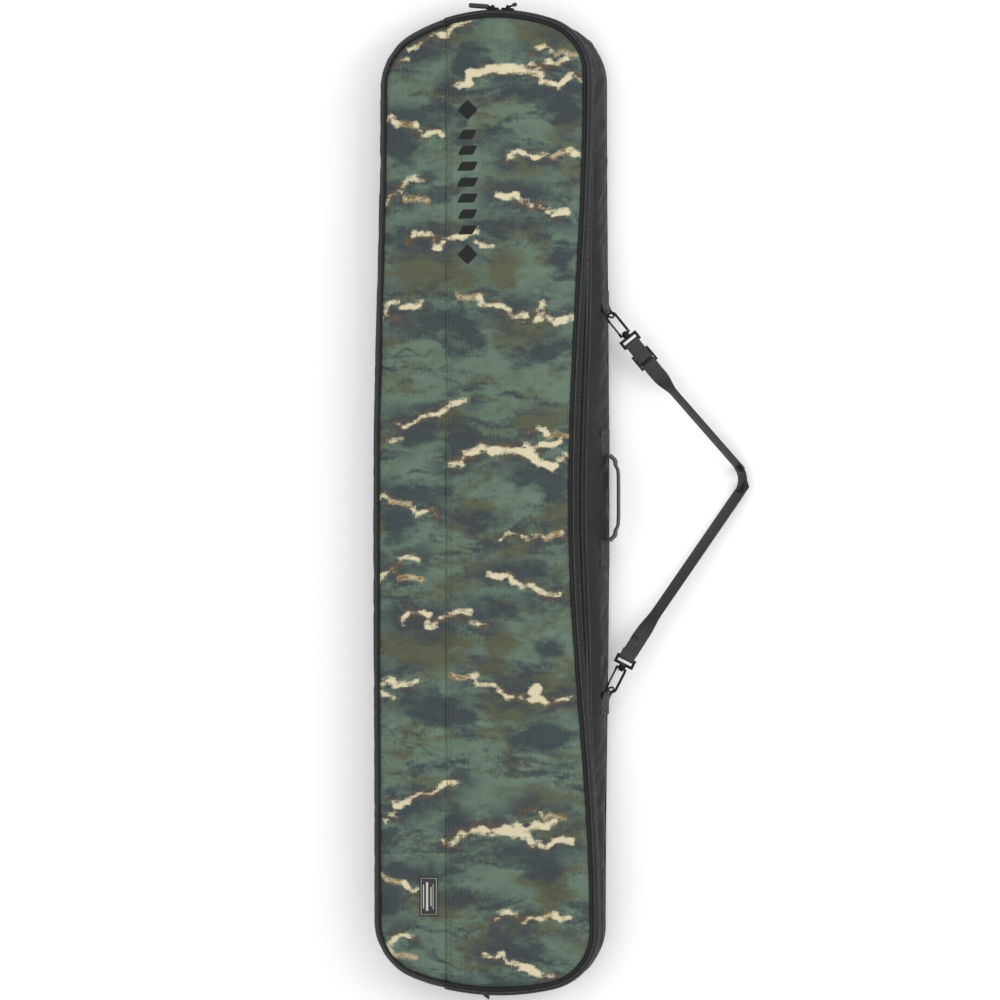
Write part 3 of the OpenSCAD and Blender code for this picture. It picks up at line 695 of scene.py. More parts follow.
# printed front panels
# Painted shapes: kind, half thickness and points, in millimetres in the frame.
# They are fixed lists that follow no rule, and stay put when the bag changes size.
streaks = [
    ("cream", 4, [(-131, 751), (-126, 743), (-107, 750), (-89, 763), (-66, 764), (-45, 781), (-22, 786)]),
    ("cream", 3, [(-150, 722), (-145, 718), (-139, 725), (-126, 725)]),
    ("cream", 6, [(-46, 684), (-27, 683), (-22, 701), (-8, 699), (8, 709)]),
    ("cream", 8, [(8, 709), (26, 705), (51, 707), (77, 702), (94, 697)]),
    ("cream", 5, [(77, 714), (92, 707), (107, 715), (120, 712), (137, 722)]),
    ("cream", 5, [(94, 689), (99, 683), (112, 683), (124, 675), (132, 686), (145, 696), (162, 689)]),
    ("cream", 3, [(81, 732), (91, 738), (100, 741), (110, 738), (114, 732)]),
    ("ochre", 3, [(117, 725), (130, 733), (142, 728), (153, 727)]),
    ("cream", 4, [(-164, 629), (-157, 633), (-145, 622)]),
    ("ochre", 4, [(-145, 622), (-129, 619), (-112, 617)]),
    ("cream", 4, [(-112, 617), (-101, 601), (-88, 607), (-76, 609), (-69, 600)]),
    ("cream", 4, [(38, 557), (46, 568), (59, 571), (74, 566), (84, 558), (99, 565), (114, 562)]),
    ("ochre", 4, [(114, 562), (125, 568), (138, 570)]),
    ("cream", 4, [(138, 570), (150, 565), (162, 563)]),
    ("cream", 4, [(-164, 493), (-157, 504), (-139, 514), (-127, 527), (-117, 532), (-98, 526)]),
    ("cream", 3, [(-139, 508), (-131, 496)]),
    ("ochre", 4, [(-131, 496), (-112, 498), (-93, 494)]),
    ("cream", 5, [(20, 503), (38, 497), (51, 503), (59, 491), (74, 486), (92, 483), (114, 467), (135, 470)]),
    ("cream", 5, [(-126, 427), (-114, 441), (-94, 439), (-83, 435), (-83, 419), (-74, 419), (-63, 431),
                  (-45, 436), (-13, 442)]),
    ("cream", 3, [(-13, 426), (-3, 421), (13, 420)]),
    ("cream", 4, [(-162, 320), (-154, 329), (-142, 328), (-137, 320), (-110, 320), (-102, 329)]),
    ("cream", 3, [(-170, 300), (-164, 310), (-155, 303), (-139, 300)]),
    ("ochre", 4, [(-45, 339), (-38, 334), (-22, 334), (-8, 338)]),
    ("cream", 5, [(-8, 338), (-2, 324), (26, 321), (39, 313), (49, 303), (71, 306)]),
    ("cream", 5, [(88, 311), (97, 320), (100, 310), (89, 300), (105, 302), (117, 292), (142, 302),
                  (150, 300)]),
    ("dark", 1.5, [(-117, 666), (-106, 673), (-81, 668), (-53, 668), (-3, 671)]),
    ("dark", 1.5, [(-144, 244), (-129, 253), (-112, 243), (-96, 238), (-88, 249)]),
    ("dark", 1.5, [(-117, 218), (-96, 223), (-81, 208), (-63, 203), (-40, 195), (-35, 184), (1, 185)]),
]
# Patches: centre x and y, half width and half height.
patches = {
    "slate": [(-101, 738, 33, 20), (-28, 720, 25, 26), (100, 669, 59, 15), (-106, 633, 58, 16),
              (-139, 588, 26, 30), (-7, 593, 36, 15), (125, 645, 33, 25), (66, 506, 50, 15),
              (-98, 429, 66, 20), (43, 449, 50, 15), (124, 387, 21, 23), (59, 323, 23, 13),
              (-73, 290, 58, 23), (-28, 266, 36, 20), (105, 241, 46, 23)],
    "olive": [(100, 756, 41, 20), (-56, 764, 33, 13), (67, 547, 36, 13), (18, 511, 33, 13),
              (-89, 380, 82, 36), (34, 380, 25, 36), (56, 282, 58, 30), (133, 609, 20, 30)],
}
printRepeat = (-0.010, -0.620)       # the print starts again after this much
repeats = (-1, 0, 1, 2, 3)


def segmentDistance(points, a, b):
    a, b = np.asarray(a), np.asarray(b)
    along = np.clip(((points - a) @ (b - a)) / max((b - a) @ (b - a), 1e-12), 0, 1)
    return np.linalg.norm(points - a - along[:, None] * (b - a), axis=1)


def boxDistance(points, x, y, halfX, halfY, lean=0.0):
    # signed distance to a box that leans over by a share of its height
    dy = points[:, 1] - y
    dx = points[:, 0] - x - lean * dy
    return np.maximum(np.abs(dx) - halfX, np.abs(dy) - halfY)


def markDistance(points):
    # a plain upright mark: stacked slanted bars between two small diamonds
    x, y = -0.027, 0.523
    found = np.full(len(points), 1.0)
    for k in range(-3, 4):
        found = np.minimum(found, boxDistance(points, x, y + k * 0.026, 0.015 - 0.001 * abs(k), 0.0075, 0.5))
    for end in (-1, 1):
        dx, dy = np.abs(points[:, 0] - x), np.abs(points[:, 1] - y - end * 0.118)
        found = np.minimum(found, (dx + dy - 0.017) / 1.414)
    return found


def paintPrint(piece):
    mesh = piece.data
    flat = np.zeros(len(mesh.vertices) * 3)
    mesh.vertices.foreach_get("co", flat)
    points = flat.reshape(-1, 3)[:, :2]
    for kind in ("cream", "ochre", "dark", "slate", "olive", "mark"):
        found = np.full(len(points), 1.0)
        for k in repeats:
            shift = np.array(printRepeat) * k
            for streakKind, half, corners in streaks:
                if streakKind != kind:
                    continue
                for a, b in zip(corners, corners[1:]):
                    a, b = np.array(a) * mm + shift, np.array(b) * mm + shift
                    found = np.minimum(found, segmentDistance(points, a, b) - half * mm)
            for x, y, halfX, halfY in patches.get(kind, ()):
                centre = np.array((x, y)) * mm + shift
                reach = np.linalg.norm((points - centre) / (halfX * mm, halfY * mm), axis=1)
                found = np.minimum(found, (reach - 1) * min(halfX, halfY) * mm)
        if kind == "mark":
            found = markDistance(points)
        mesh.attributes.new(kind, "FLOAT", "POINT").data.foreach_set("value", found.astype(np.float32))


def panelGrid(shape, leftX, rightX, grow, step):
    # a grid of (x, y) over the part of an outline between a straight line or a side and another
    def left(y):
        return sideX(shape, -1, y, grow) if leftX is None else np.full(np.shape(y), leftX)

    def right(y):
        return sideX(shape, 1, y, grow) if rightX is None else np.full(np.shape(y), rightX)

    topLeft = left(np.array([0.75]))[0]
    topRight = right(np.array([0.75]))[0]
    count = int((topRight - topLeft) / step)
    u = np.linspace(0, 1, count)
    fine = np.array([0.0012, 0.004, 0.009]) / (topRight - topLeft)
    u = np.unique(np.concatenate([u, fine, 1 - fine]))
    rows = int(2 * shape["half"] / step)
    v = np.linspace(-1, 1, rows)
    close = np.array([0.0012, 0.004, 0.009]) / shape["half"]
    v = np.unique(np.concatenate([v, 1 - close, close - 1]))
    bottomLeft = left(np.array([-0.75]))[0]
    bottomRight = right(np.array([-0.75]))[0]
    yTop = endY(shape, topLeft + u * (topRight - topLeft), True, grow)
    yBottom = endY(shape, bottomLeft + u * (bottomRight - bottomLeft), False, grow)
    vv, uu = np.meshgrid(v, u, indexing="ij")
    y = np.where(vv > 0, vv * yTop[None, :], -vv * yBottom[None, :])
    x = left(y) + uu * (right(y) - left(y))
    return np.stack([x, y], -1)


def edgeDistance(grid, rims):
    tree = KDTree(len(rims))
    for i, p in enumerate(rims):
        tree.insert((p[0], p[1], 0), i)
    tree.balance()
    return np.array([tree.find((p[0], p[1], 0))[2] for p in grid.reshape(-1, 2)]).reshape(grid.shape[:2])


panelLook = {"step": 0.0036, "edgeDrop": 0.0050, "seamDrop": 0.0034, "crown": 0.0022, "ripple": 0.0011}


def printedPanel(name, flap, rideOn, *nodes):
    look = panelLook
    gap = 0.0006
    leftX, rightX = (seamX + gap, None) if flap else (None, seamX - gap)
    grid = panelGrid(front, leftX, rightX, 0.0, look["step"])
    rim = sideRing(front, 1 if flap else -1)
    rim = np.concatenate([rim, (rim[1:] + rim[:-1]) / 2])
    toEdge = edgeDistance(grid, rim)
    toSeam = np.abs(grid[..., 0] - seamX)
    flatPoints = np.concatenate([grid, np.zeros(grid.shape[:2] + (1,))], -1)
    inside = 1 - np.exp(-np.minimum(toEdge, toSeam) / 0.06)
    z = (panelTop - look["edgeDrop"] * np.exp(-toEdge / 0.006) - look["seamDrop"] * np.exp(-toSeam / 0.005)
         + look["crown"] * inside
         + wave(flatPoints, 9, look["ripple"]) + wave(flatPoints * (1, 0.45, 1), 26, look["ripple"] * 0.6, 4)
         # puckers that the seam's stitches pull in
         + wave(flatPoints * (0.25, 1, 1), 60, 0.0009, 9) * np.exp(-toSeam / 0.018)
         + wave(flatPoints, 45, 0.0008, 2) * np.exp(-toEdge / 0.020))
    # the two stitched rows beside the seam press the padding down
    for row in (0.0030, 0.0092):
        z -= 0.0011 * np.exp(-((toSeam - row) / 0.0016) ** 2) * (1 if flap else 0.25)
    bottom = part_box("front_lining_wide")[1].z + 0.0004
    outer = np.concatenate([grid, z[..., None]], -1)
    under = np.concatenate([grid, np.full(z.shape + (1,), bottom)], -1)
    piece = shell(name, outer, under, grid)
    paintPrint(piece)
    finishPiece(piece, "print", rideOn, "camo_canvas", *nodes)
    return piece


frontPanelWide = printedPanel("frontPanelWide", True, "flap", "front_panel_wide", "front_padding_wide")
frontPanelNarrow = printedPanel("frontPanelNarrow", False, "bag",
                                "front_panel_narrow", "front_padding_narrow")
print("front panels ready")


# linings
def flatLining(name, shape, grow, leftX, rightX, zLow, zHigh, rideOn, nodeName):
    grid = panelGrid(shape, leftX, rightX, grow, 0.012)
    lift = wave(np.concatenate([grid, np.zeros(grid.shape[:2] + (1,))], -1), 14, 0.0008, 5)
    top = np.concatenate([grid, (zHigh - 0.0001 + np.minimum(lift, 0))[..., None]], -1)
    under = top - np.array([0, 0, zHigh - zLow - 0.0002])
    piece = finishPiece(shell(name, top, under, grid), "lining", rideOn, "lining_cloth", nodeName)
    return piece


liningLow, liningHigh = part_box("front_lining_wide")[0].z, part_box("front_lining_wide")[1].z
flatLining("frontLiningWide", front, -0.003, seamX + 0.0006, None, liningLow, liningHigh,
           "flap", "front_lining_wide")
flatLining("frontLiningNarrow", front, -0.003, None, seamX - 0.0006, liningLow, liningHigh,
           "bag", "front_lining_narrow")
backLow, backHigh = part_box("back_lining")[0].z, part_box("back_lining")[1].z
flatLining("backLining", body, -0.010, None, None, backLow, backHigh, "bag", "back_lining")


# back
def backPad():
    grid = panelGrid(body, None, None, -0.006, 0.008)
    rim = np.concatenate([sideRing(body, 1, -0.006), sideRing(body, -1, -0.006)])
    toEdge = edgeDistance(grid, rim)
    low = 0.0002 + 0.0030 * np.exp(-toEdge / 0.006)
    under = np.concatenate([grid, low[..., None]], -1)
    top = np.concatenate([grid, np.full(low.shape + (1,), backLow - 0.0002)], -1)
    piece = finishPiece(shell("backPad", top, under, grid), "back", "bag", "wall_canvas",
                        "back_panel", "back_padding")
    return piece


backPad()
print("linings and back ready")


# walls
def smoothRows(controls, count):
    # rows of points on a smooth skin through a few lines of points
    controls = np.stack(controls)
    p = np.concatenate([[2 * controls[0] - controls[1]], controls, [2 * controls[-1] - controls[-2]]])
    rows = []
    spans = len(controls) - 1
    for s in np.linspace(0, spans, count):
        i = min(int(s), spans - 1)
        t = s - i
        a, b, c, d = p[i:i + 4]
        rows.append(0.5 * (2 * b + (c - a) * t + (2 * a - 5 * b + 4 * c - d) * t ** 2
                           + (3 * b - a - 3 * c + d) * t ** 3))
    return np.stack(rows)


wallLook = {"fold": 0.0040, "crease": 0.0026, "deepest": -0.0042, "thick": 0.0062}


def gridNormals(grid):
    du = np.gradient(grid, axis=0)
    dv = np.gradient(grid, axis=1)
    n = np.cross(du, dv)
    n /= np.linalg.norm(n, axis=2)[..., None]
    outward = grid - np.array([0.0, 0.0, 0.05])
    outward[..., 1] *= 0.05
    return n * np.sign((n[..., :2] * outward[..., :2]).sum(-1).mean())


def wallPiece(name, controls, calm, nodes):
    look = wallLook
    grid = smoothRows(controls, 26)
    normals = gridNormals(grid)
    rows = np.linspace(0, 1, len(grid))[:, None]
    free = np.sin(np.pi * np.clip(rows * 1.02, 0, 1)) ** 0.7
    # drag folds lean from the zipper to the base; small creases sit on top of them
    slant = grid * (1.0, 1.0, 1.0) + np.stack([0 * grid[..., 2], 0.9 * grid[..., 2], 0 * grid[..., 2]], -1)
    folds = wave(slant * (8, 22, 10), 1.0, look["fold"], 3)
    creases = wave(slant * (40, 70, 36), 1.0, look["crease"], 8)
    sharp = -np.abs(wave(slant * (14, 34, 14), 1.0, look["fold"] * 1.4, 21))
    push = calm * free * (folds + creases + sharp + 0.0006)
    push -= np.maximum(push, 0) * ease((rows - 0.55) / 0.2)     # nothing stands in the sliders' way
    outer = grid + normals * np.maximum(push, look["deepest"])[..., None]
    inner = grid - normals * look["thick"]
    piece = finishPiece(shell(name, outer, inner), "wall", "bag", "wall_canvas", *nodes)
    return piece


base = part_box("strap_side_wall")[0].z
strapControls = [level(body, 1, base, -0.0030), level(body, 1, 0.020, 0.0004), level(body, 1, 0.038, 0.0),
                 between(level(body, 1, 0.0576, -0.0085), level(front, 1, 0.0640, 0.0430)),
                 between(level(front, 1, 0.0690, 0.0136), level(front, 1, 0.0745, 0.0325)),
                 zipBottom + np.array([0, 0, -0.0008]), zipBottom + np.array([0, 0, 0.0002])]
wallPiece("strapSideWall", strapControls, 1.0, ("strap_side_wall", "strap_side_foam"))
plainControls = [level(body, -1, base, -0.0030), level(body, -1, 0.020, 0.0004), level(body, -1, 0.038, 0.0),
                 level(body, -1, 0.0576, -0.0060), level(front, -1, 0.0790, 0.0134),
                 level(front, -1, 0.0895, 0.0072), level(front, -1, 0.0920, 0.0050)]
wallPiece("hingeSideWall", plainControls, 0.3, ("hinge_side_wall", "hinge_side_foam"))


def wallLining(name, sign, nodeName):
    low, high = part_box(nodeName)[0].z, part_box(nodeName)[1].z
    inset = 0.0088
    rows = [level(body, sign, low, -0.002 - inset), level(body, sign, 0.0384, -inset),
            level(body, sign, 0.0576, -0.010 - inset), level(body, sign, high, -0.013 - inset)]
    grid = smoothRows(rows, 8)
    normals = gridNormals(grid)
    piece = shell(name, grid, grid - normals * 0.0006)
    finishPiece(piece, "lining", "bag", "lining_cloth", nodeName)


wallLining("strapSideLining", 1, "strap_side_lining")
wallLining("hingeSideLining", -1, "hinge_side_lining")
print("walls ready")


# piping and flap strip
def piping(name, shape, sign, grow, z, rideOn, *nodes):
    path = level(shape, sign, z, grow)
    piece = sweep(name, path, (0, 0, 1), tube(0.0025, 10))
    return finishPiece(piece, "piping", rideOn, "piping_cord", *nodes)


piping("frontPipingFlap", front, 1, 0.0024, panelTop - 0.0034, "flap", "front_piping_flap")
piping("frontPipingFixed", front, -1, 0.0024, panelTop - 0.0034, "bag", "front_piping_fixed")
piping("backPipingStrapSide", body, 1, -0.0030, 0.0028, "bag", "back_piping")
piping("backPipingHingeSide", body, -1, -0.0030, 0.0028, "bag", "back_piping")

stripRows = [level(front, 1, panelTop - 0.0052, 0.0040), level(front, 1, panelTop - 0.0040, 0.0062),
             between(level(front, 1, panelTop - 0.0060, 0.0110), level(front, 1, panelTop - 0.0058, 0.0092)),
             zipTop + (zipTop - zipBottom) * 0.02, zipTop + (zipBottom - zipTop) * 0.10]
flapStrip = band("flapStrip", stripRows, 0.0014, 0.0008)
finishPiece(flapStrip, "strip", "flap", "wall_canvas", "flap_wall_strip")

# zipper
halfLine = (zipBottom - zipTop) / np.linalg.norm(zipBottom - zipTop, axis=1)[:, None] * 0.0004
tapeUpper = band("zipTapeUpper", [zipTop - (zipBottom - zipTop) * 0.45, zipTop, zipMiddle - halfLine],
                 0.0008, -0.0014)
finishPiece(tapeUpper, "tape", "flap", "zip_tape", "zip_tape_upper")
tapeLower = band("zipTapeLower", [zipMiddle + halfLine, zipBottom, zipBottom + (zipBottom - zipTop) * 0.45],
                 0.0008, -0.0014)
finishPiece(tapeLower, "tape", "bag", "zip_tape", "zip_tape_lower")
toothSize = (0.0016, 0.0047, 0.0018)
upperLine = zipTop + (zipMiddle - zipTop) * 0.56 + zipFacing * 0.0002
lowerLine = zipBottom + (zipMiddle - zipBottom) * 0.56 + zipFacing * 0.0002
coilUpper = repeatAlong("zipCoilUpper", [(upperLine, zipFacing)], 0.0032, toothSize, "coil", 0.02)
finishPiece(coilUpper, "coil", "flap", "zip_coil", "zip_coil_upper")
coilLower = repeatAlong("zipCoilLower", [(lowerLine, zipFacing)], 0.0032, toothSize, "coil", 0.02, 5)
finishPiece(coilLower, "coil", "bag", "zip_coil", "zip_coil_lower")
# sewn edge of the wall beside the zipper
wallEdge = zipBottom + (strapControls[4] - zipBottom) * 0.45
edgeRows = [zipBottom + (zipTop - zipBottom) * 0.03, zipBottom * 0.5 + wallEdge * 0.5, wallEdge]
edgeNormals = bandNormals(edgeRows[0], edgeRows[2])
finishPiece(band("wallEdgeBinding", edgeRows, 0.0016, 0.0012), "strip", "bag", "wall_canvas")
edgeLine = edgeRows[1] * 0.4 + edgeRows[2] * 0.6 + edgeNormals * 0.0014
edgeStitches = repeatAlong("wallEdgeStitches", [(edgeLine, edgeNormals)], 0.0048,
                           (0.0032, 0.0008, 0.0006), "blackThread")
finishPiece(edgeStitches, "blackThread", "bag", None)
print("zipper ready")

# stitches
stitchSize = (0.0034, 0.0009, 0.0007)


def panelHeight(piece, points):
    tree = KDTree(len(piece.data.vertices))
    for i, v in enumerate(piece.data.vertices):
        if v.co.z > panelTop - 0.0075:
            tree.insert((v.co.x, v.co.y, 0), i)
    tree.balance()
    out = []
    for x, y in points:
        near = tree.find_n((x, y, 0), 3)
        out.append(sum(piece.data.vertices[i].co.z for _, i, _ in near) / len(near))
    return np.array(out)


def seamRow(piece, x):
    y = np.linspace(0.770, -0.772, 500)
    points = np.stack([np.full(len(y), x), y], -1)
    z = panelHeight(piece, points)
    z = np.convolve(np.pad(z, 3, mode="edge"), np.ones(7) / 7, "valid") + 0.0003
    return np.concatenate([points, z[:, None]], 1), (0, 0, 1)


seamStitches = repeatAlong("seamStitchesFlap", [seamRow(frontPanelWide, seamX + 0.0030),
                                                seamRow(frontPanelWide, seamX + 0.0092)],
                           0.0052, stitchSize, "thread")
finishPiece(seamStitches, "thread", "flap", None)
stripNormals = bandNormals(stripRows[1], stripRows[3])
stitchLine = stripRows[2] * 0.35 + stripRows[1] * 0.65 + stripNormals * 0.0010
stripStitches = repeatAlong("flapStripStitches", [(stitchLine, stripNormals)], 0.0048, stitchSize,
                            "blackThread")
finishPiece(stripStitches, "blackThread", "flap", None)


# seam on the inside and across the fold
def seamFold():
    # cloth that carries the flap across its fold
    y = np.linspace(0.768, -0.770, 240)
    rows = []
    for dx, z in ((-0.0050, 0.0048), (-0.0022, 0.0040), (0, 0.0036), (0.0022, 0.0040), (0.0050, 0.0048)):
        rows.append(np.stack([np.full(len(y), seamX + dx), y, np.full(len(y), panelTop - z)], -1))
    grid = np.stack(rows)
    uv = grid[..., :2]
    piece = shell("seamFold", grid, grid - np.array([0, 0, 0.0008]), uv)
    paintPrint(piece)
    finishPiece(piece, "print", None, "camo_canvas")
    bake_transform(piece)


seamFold()


def seamBinding():
    low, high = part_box("seam_binding")
    y = np.linspace(low.y, high.y, 160)
    middle = (low.x + high.x) / 2
    path = np.stack([np.full(len(y), middle), y, np.full(len(y), (low.z + high.z) / 2)], -1)
    piece = sweep("seamBinding", path, (1, 0, 0), rounded(high.x - low.x, high.z - low.z))
    finishPiece(piece, "blackWebbing", "bag", "webbing", "seam_binding")


seamBinding()


# label
def wovenLabel():
    low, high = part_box("woven_label")
    x = np.linspace(low.x, high.x, 12)
    y = np.linspace(low.y, high.y, 24)
    yy, xx = np.meshgrid(y, x, indexing="ij")
    z = panelHeight(frontPanelNarrow, np.stack([xx.ravel(), yy.ravel()], -1)).reshape(xx.shape)
    for _ in range(4):
        z[1:-1, 1:-1] = (z[:-2, 1:-1] + z[2:, 1:-1] + z[1:-1, :-2] + z[1:-1, 2:]) / 4
    top = np.stack([xx, yy, z + 0.0009], -1)
    uv = np.stack([(xx - low.x) / (high.x - low.x), (yy - low.y) / (high.y - low.y)], -1)
    piece = shell("wovenLabel", top, top - np.array([0, 0, 0.0007]), uv)
    finishPiece(piece, "label", "bag", "label_weave", "woven_label")
    edge = [np.concatenate([top[0], top[:, -1], top[-1, ::-1], top[::-1, 0]])
            + np.array([0, 0, 0.0002])]
    centre = top.mean((0, 1))
    line = edge[0] + (centre - edge[0]) * (0.05, 0.03, 0)
    stitches = repeatAlong("labelStitches", [(line, (0, 0, 1))], 0.0040,
                           (0.0026, 0.0006, 0.0005), "blackThread")
    finishPiece(stitches, "blackThread", "bag", None)


wovenLabel()
print("stitches and label ready")


# webbing
webWide = 0.025


def boxStitches(name, centre, along, across, facing, length, width, rideOn):
    # a sewn rectangle with a cross in it
    centre, along, across, facing = (np.asarray(v, float) for v in (centre, along, across, facing))
    signs = ((1, 1), (1, -1), (-1, -1), (-1, 1))
    c = [centre + along * length / 2 * a + across * width / 2 * b for a, b in signs]
    lines = []
    for a, b in ((0, 1), (1, 2), (2, 3), (3, 0), (0, 2), (1, 3)):
        lines.append((np.linspace(c[a], c[b], 24), facing))
    piece = repeatAlong(name, lines, 0.0030, (0.0021, 0.0007, 0.0006), "blackThread")
    return finishPiece(piece, "blackThread", rideOn, None)


def grabHandle():
    low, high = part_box("grab_handle")
    y, z = (low.y + high.y) / 2, (low.z + high.z) / 2
    half = (high.y - low.y) / 2
    inner, outer = low.x + 0.004, high.x - 0.002
    path = curveThrough([(inner - 0.002, half - 0.001, z), (inner + 0.007, half - 0.009, z),
                         (outer - 0.004, half - 0.018, z), (outer, half - 0.030, z), (outer + 0.0005, 0, z),
                         (outer, 0.030 - half, z), (outer - 0.004, 0.018 - half, z),
                         (inner + 0.007, 0.009 - half, z), (inner - 0.002, 0.001 - half, z)], 150) + (0, y, 0)
    s = np.linspace(-1, 1, len(path))
    # edge-on in the hand, laid back against the wall where it is sewn
    twist = np.radians(15) * np.clip((np.abs(s) - 0.62) / 0.38, 0, 1) ** 1.5
    wide = np.stack([-np.sin(twist) * 0.9, np.zeros(len(s)), np.cos(twist)], -1)
    piece = sweep("grabHandle", path, wide, rounded(webWide, 0.0032))
    finishPiece(piece, "blackWebbing", "handle", "webbing", "grab_handle")


grabHandle()

lean = math.radians(62.49)            # steepness of the wall's shoulder where webbing is sewn on
wallOut = np.array([math.sin(lean), 0, math.cos(lean)])
wallUp = np.array([-math.cos(lean), 0, math.sin(lean)])


def handleEnds():
    low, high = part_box("handle_sewn_ends")
    middle = np.array([(low.x + high.x) / 2, (low.y + high.y) / 2, (low.z + high.z) / 2])
    half, length = (high.y - low.y) / 2, 0.040
    pieces = []
    for end in (-1, 1):
        y = np.linspace(end * (half - length - 0.004), end * half, 30)
        path = middle + wallOut * 0.0016 + np.stack([0 * y, y, 0 * y], -1)
        pieces.append(sweep("handleEnd%d" % (end + 1), path, wallUp, rounded(webWide, 0.0018)))
        boxStitches("handleStitches%s" % ("Upper" if end > 0 else "Lower"),
                    middle + wallOut * 0.0028 + np.array([0, end * (half - length / 2 - 0.001), 0]),
                    (0, 1, 0), wallUp, wallOut, 0.030, 0.018, "bag")
    return joinPieces("handleSewnEnds", pieces)


def joinPieces(name, pieces):
    shape = bmesh.new()
    for piece in pieces:
        shape.from_mesh(piece.data)
    mesh = bpy.data.meshes.new(name)
    shape.to_mesh(mesh)
    shape.free()
    mesh.polygons.foreach_set("use_smooth", [True] * len(mesh.polygons))
    for piece in pieces:
        bpy.data.objects.remove(piece)
    piece = bpy.data.objects.new(name, mesh)
    bpy.context.collection.objects.link(piece)
    return piece


sewnEnds = finishPiece(handleEnds(), "blackWebbing", "bag", "webbing", "handle_sewn_ends")

# middle of the upper ring's straight bar; fixed, it doesn't follow a change of size
ringBar = np.array([0.19377, 0.31560, 0.04826])


def ringTab(name, end, nodeName):
    centre = ringBar * (1, end, 1)
    away = np.array([0, end, 0.0])
    around = 0.0030
    points = [centre + away * 0.031 - wallOut * 0.0033, centre + away * 0.012 - wallOut * 0.0033,
              centre + away * 0.003 - wallOut * around]
    for a in np.linspace(180, 380, 9):
        angle = math.radians(a)
        points.append(centre + around * (math.cos(angle) * wallOut + math.sin(angle) * away))
    points += [centre + away * 0.004 + wallOut * 0.0010, centre + away * 0.011 - wallOut * 0.0012,
               centre + away * 0.031 - wallOut * 0.0014]
    path = curveThrough(points, 70)
    piece = sweep(name, path, wallUp, rounded(webWide - 0.003, 0.0016))
    finishPiece(piece, "webbing", "bag", "webbing", nodeName)
    boxStitches(name + "Stitches", centre + away * 0.021 - wallOut * 0.0004, away, wallUp, wallOut,
                0.013, 0.016, "bag")


ringTab("ringTabUpper", 1, "ring_tab_upper")
ringTab("ringTabLower", -1, "ring_tab_lower")

# shoulder strap
# the strap's plane starts on this line; this place and the eyes' places below are fixed too
swing = np.array([0.204629, 0, 0.05392])
droop = math.radians(10.94)
planeOut = np.array([math.cos(droop), 0, -math.sin(droop)])
planeUp = np.array([math.sin(droop), 0, math.cos(droop)])


def inPlane(u, v, w=0.0):
    return swing + planeOut * u + np.array([0, v, 0]) + planeUp * w


def direction(angle):
    a = math.radians(angle)
    return planeOut * math.cos(a) + np.array([0, math.sin(a), 0])


upperEye, lowerEye = (0.0336, 0.2605), (0.02424, -0.2544)
upperTurn, lowerTurn, glideTurn = -51, 63, -50
glide = (upperEye[0] + 0.0322 * math.cos(math.radians(upperTurn)),
         upperEye[1] + 0.0322 * math.sin(math.radians(upperTurn)))


def eyeLoop(at, turn, tail):
    # path of webbing that comes in flat, goes round an eye's bar and back
    start = inPlane(*at)
    ahead = direction(turn)
    around = 0.0036
    points = [start + ahead * tail - planeUp * 0.0012, start + ahead * 0.006 - planeUp * 0.0022]
    for a in np.linspace(-90, -270, 9):
        angle = math.radians(a)
        points.append(start + around * (math.cos(angle) * ahead + math.sin(angle) * planeUp))
    points += [start + ahead * 0.006 + planeUp * 0.0022, start + ahead * tail + planeUp * 0.0012]
    return points


def strapWebbing():
    buckle, run0 = inPlane(*glide), direction(glideTurn)
    bend = np.array([0.174, 0.03624])
    arcLine = []
    for a in np.linspace(43, -34, 15):
        angle = math.radians(a)
        arcLine.append(inPlane(bend[0] + 0.040 * math.cos(angle), bend[1] + 0.040 * math.sin(angle)))
    # under the middle bar, up through the second slot and over the far bar
    threaded = ((-0.006, -0.0046), (0.001, -0.0045), (0.0050, -0.0030), (0.0072, 0.0002), (0.0092, 0.0026),
                (0.0125, 0.0034), (0.0165, 0.0028), (0.024, 0.0010), (0.036, 0.0))
    start = [buckle + run0 * along + planeUp * lift for along, lift in threaded]
    finish = [inPlane(*lowerEye) + direction(lowerTurn - 6) * d for d in (0.055, 0.040, 0.024, 0.008)]
    points = start + arcLine + finish
    path = curveThrough(points, 360)
    run = np.concatenate([[0], np.cumsum(np.linalg.norm(np.diff(path, axis=0), axis=1))])
    ahead = np.gradient(path, axis=0)
    ahead /= np.linalg.norm(ahead, axis=1)[:, None]
    across = np.cross(planeUp, ahead)
    across /= np.linalg.norm(across, axis=1)[:, None]
    # flat beside the buckle, a quarter turn to edge-on, and back to flat at the lower hook
    edge = ease((run - 0.045) / 0.050) * ease((run[-1] - 0.040 - run) / 0.060)
    turn = edge * np.radians(np.interp(run, [0, 0.25, 0.36, run[-1]], [66, 66, 52, 50]))
    wide = across * np.cos(turn)[:, None] + planeUp * np.sin(turn)[:, None]
    piece = sweep("strapRun", path, wide, rounded(webWide, 0.0020))
    loop = curveThrough(eyeLoop(lowerEye, lowerTurn, 0.014), 50)
    loopPiece = sweep("strapLowerLoop", loop, np.cross(planeUp, direction(lowerTurn)),
                      rounded(webWide, 0.0016))
    whole = joinPieces("strapWebbing", [piece, loopPiece])
    finishPiece(whole, "webbing", "strap", "webbing", "strap_webbing")
    boxStitches("strapStitches", inPlane(*lowerEye) + direction(lowerTurn - 6) * 0.026 + planeUp * 0.0012,
                direction(lowerTurn - 6), np.cross(planeUp, direction(lowerTurn - 6)), planeUp,
                0.018, 0.017, "strap")
    return whole


strapWebbing()


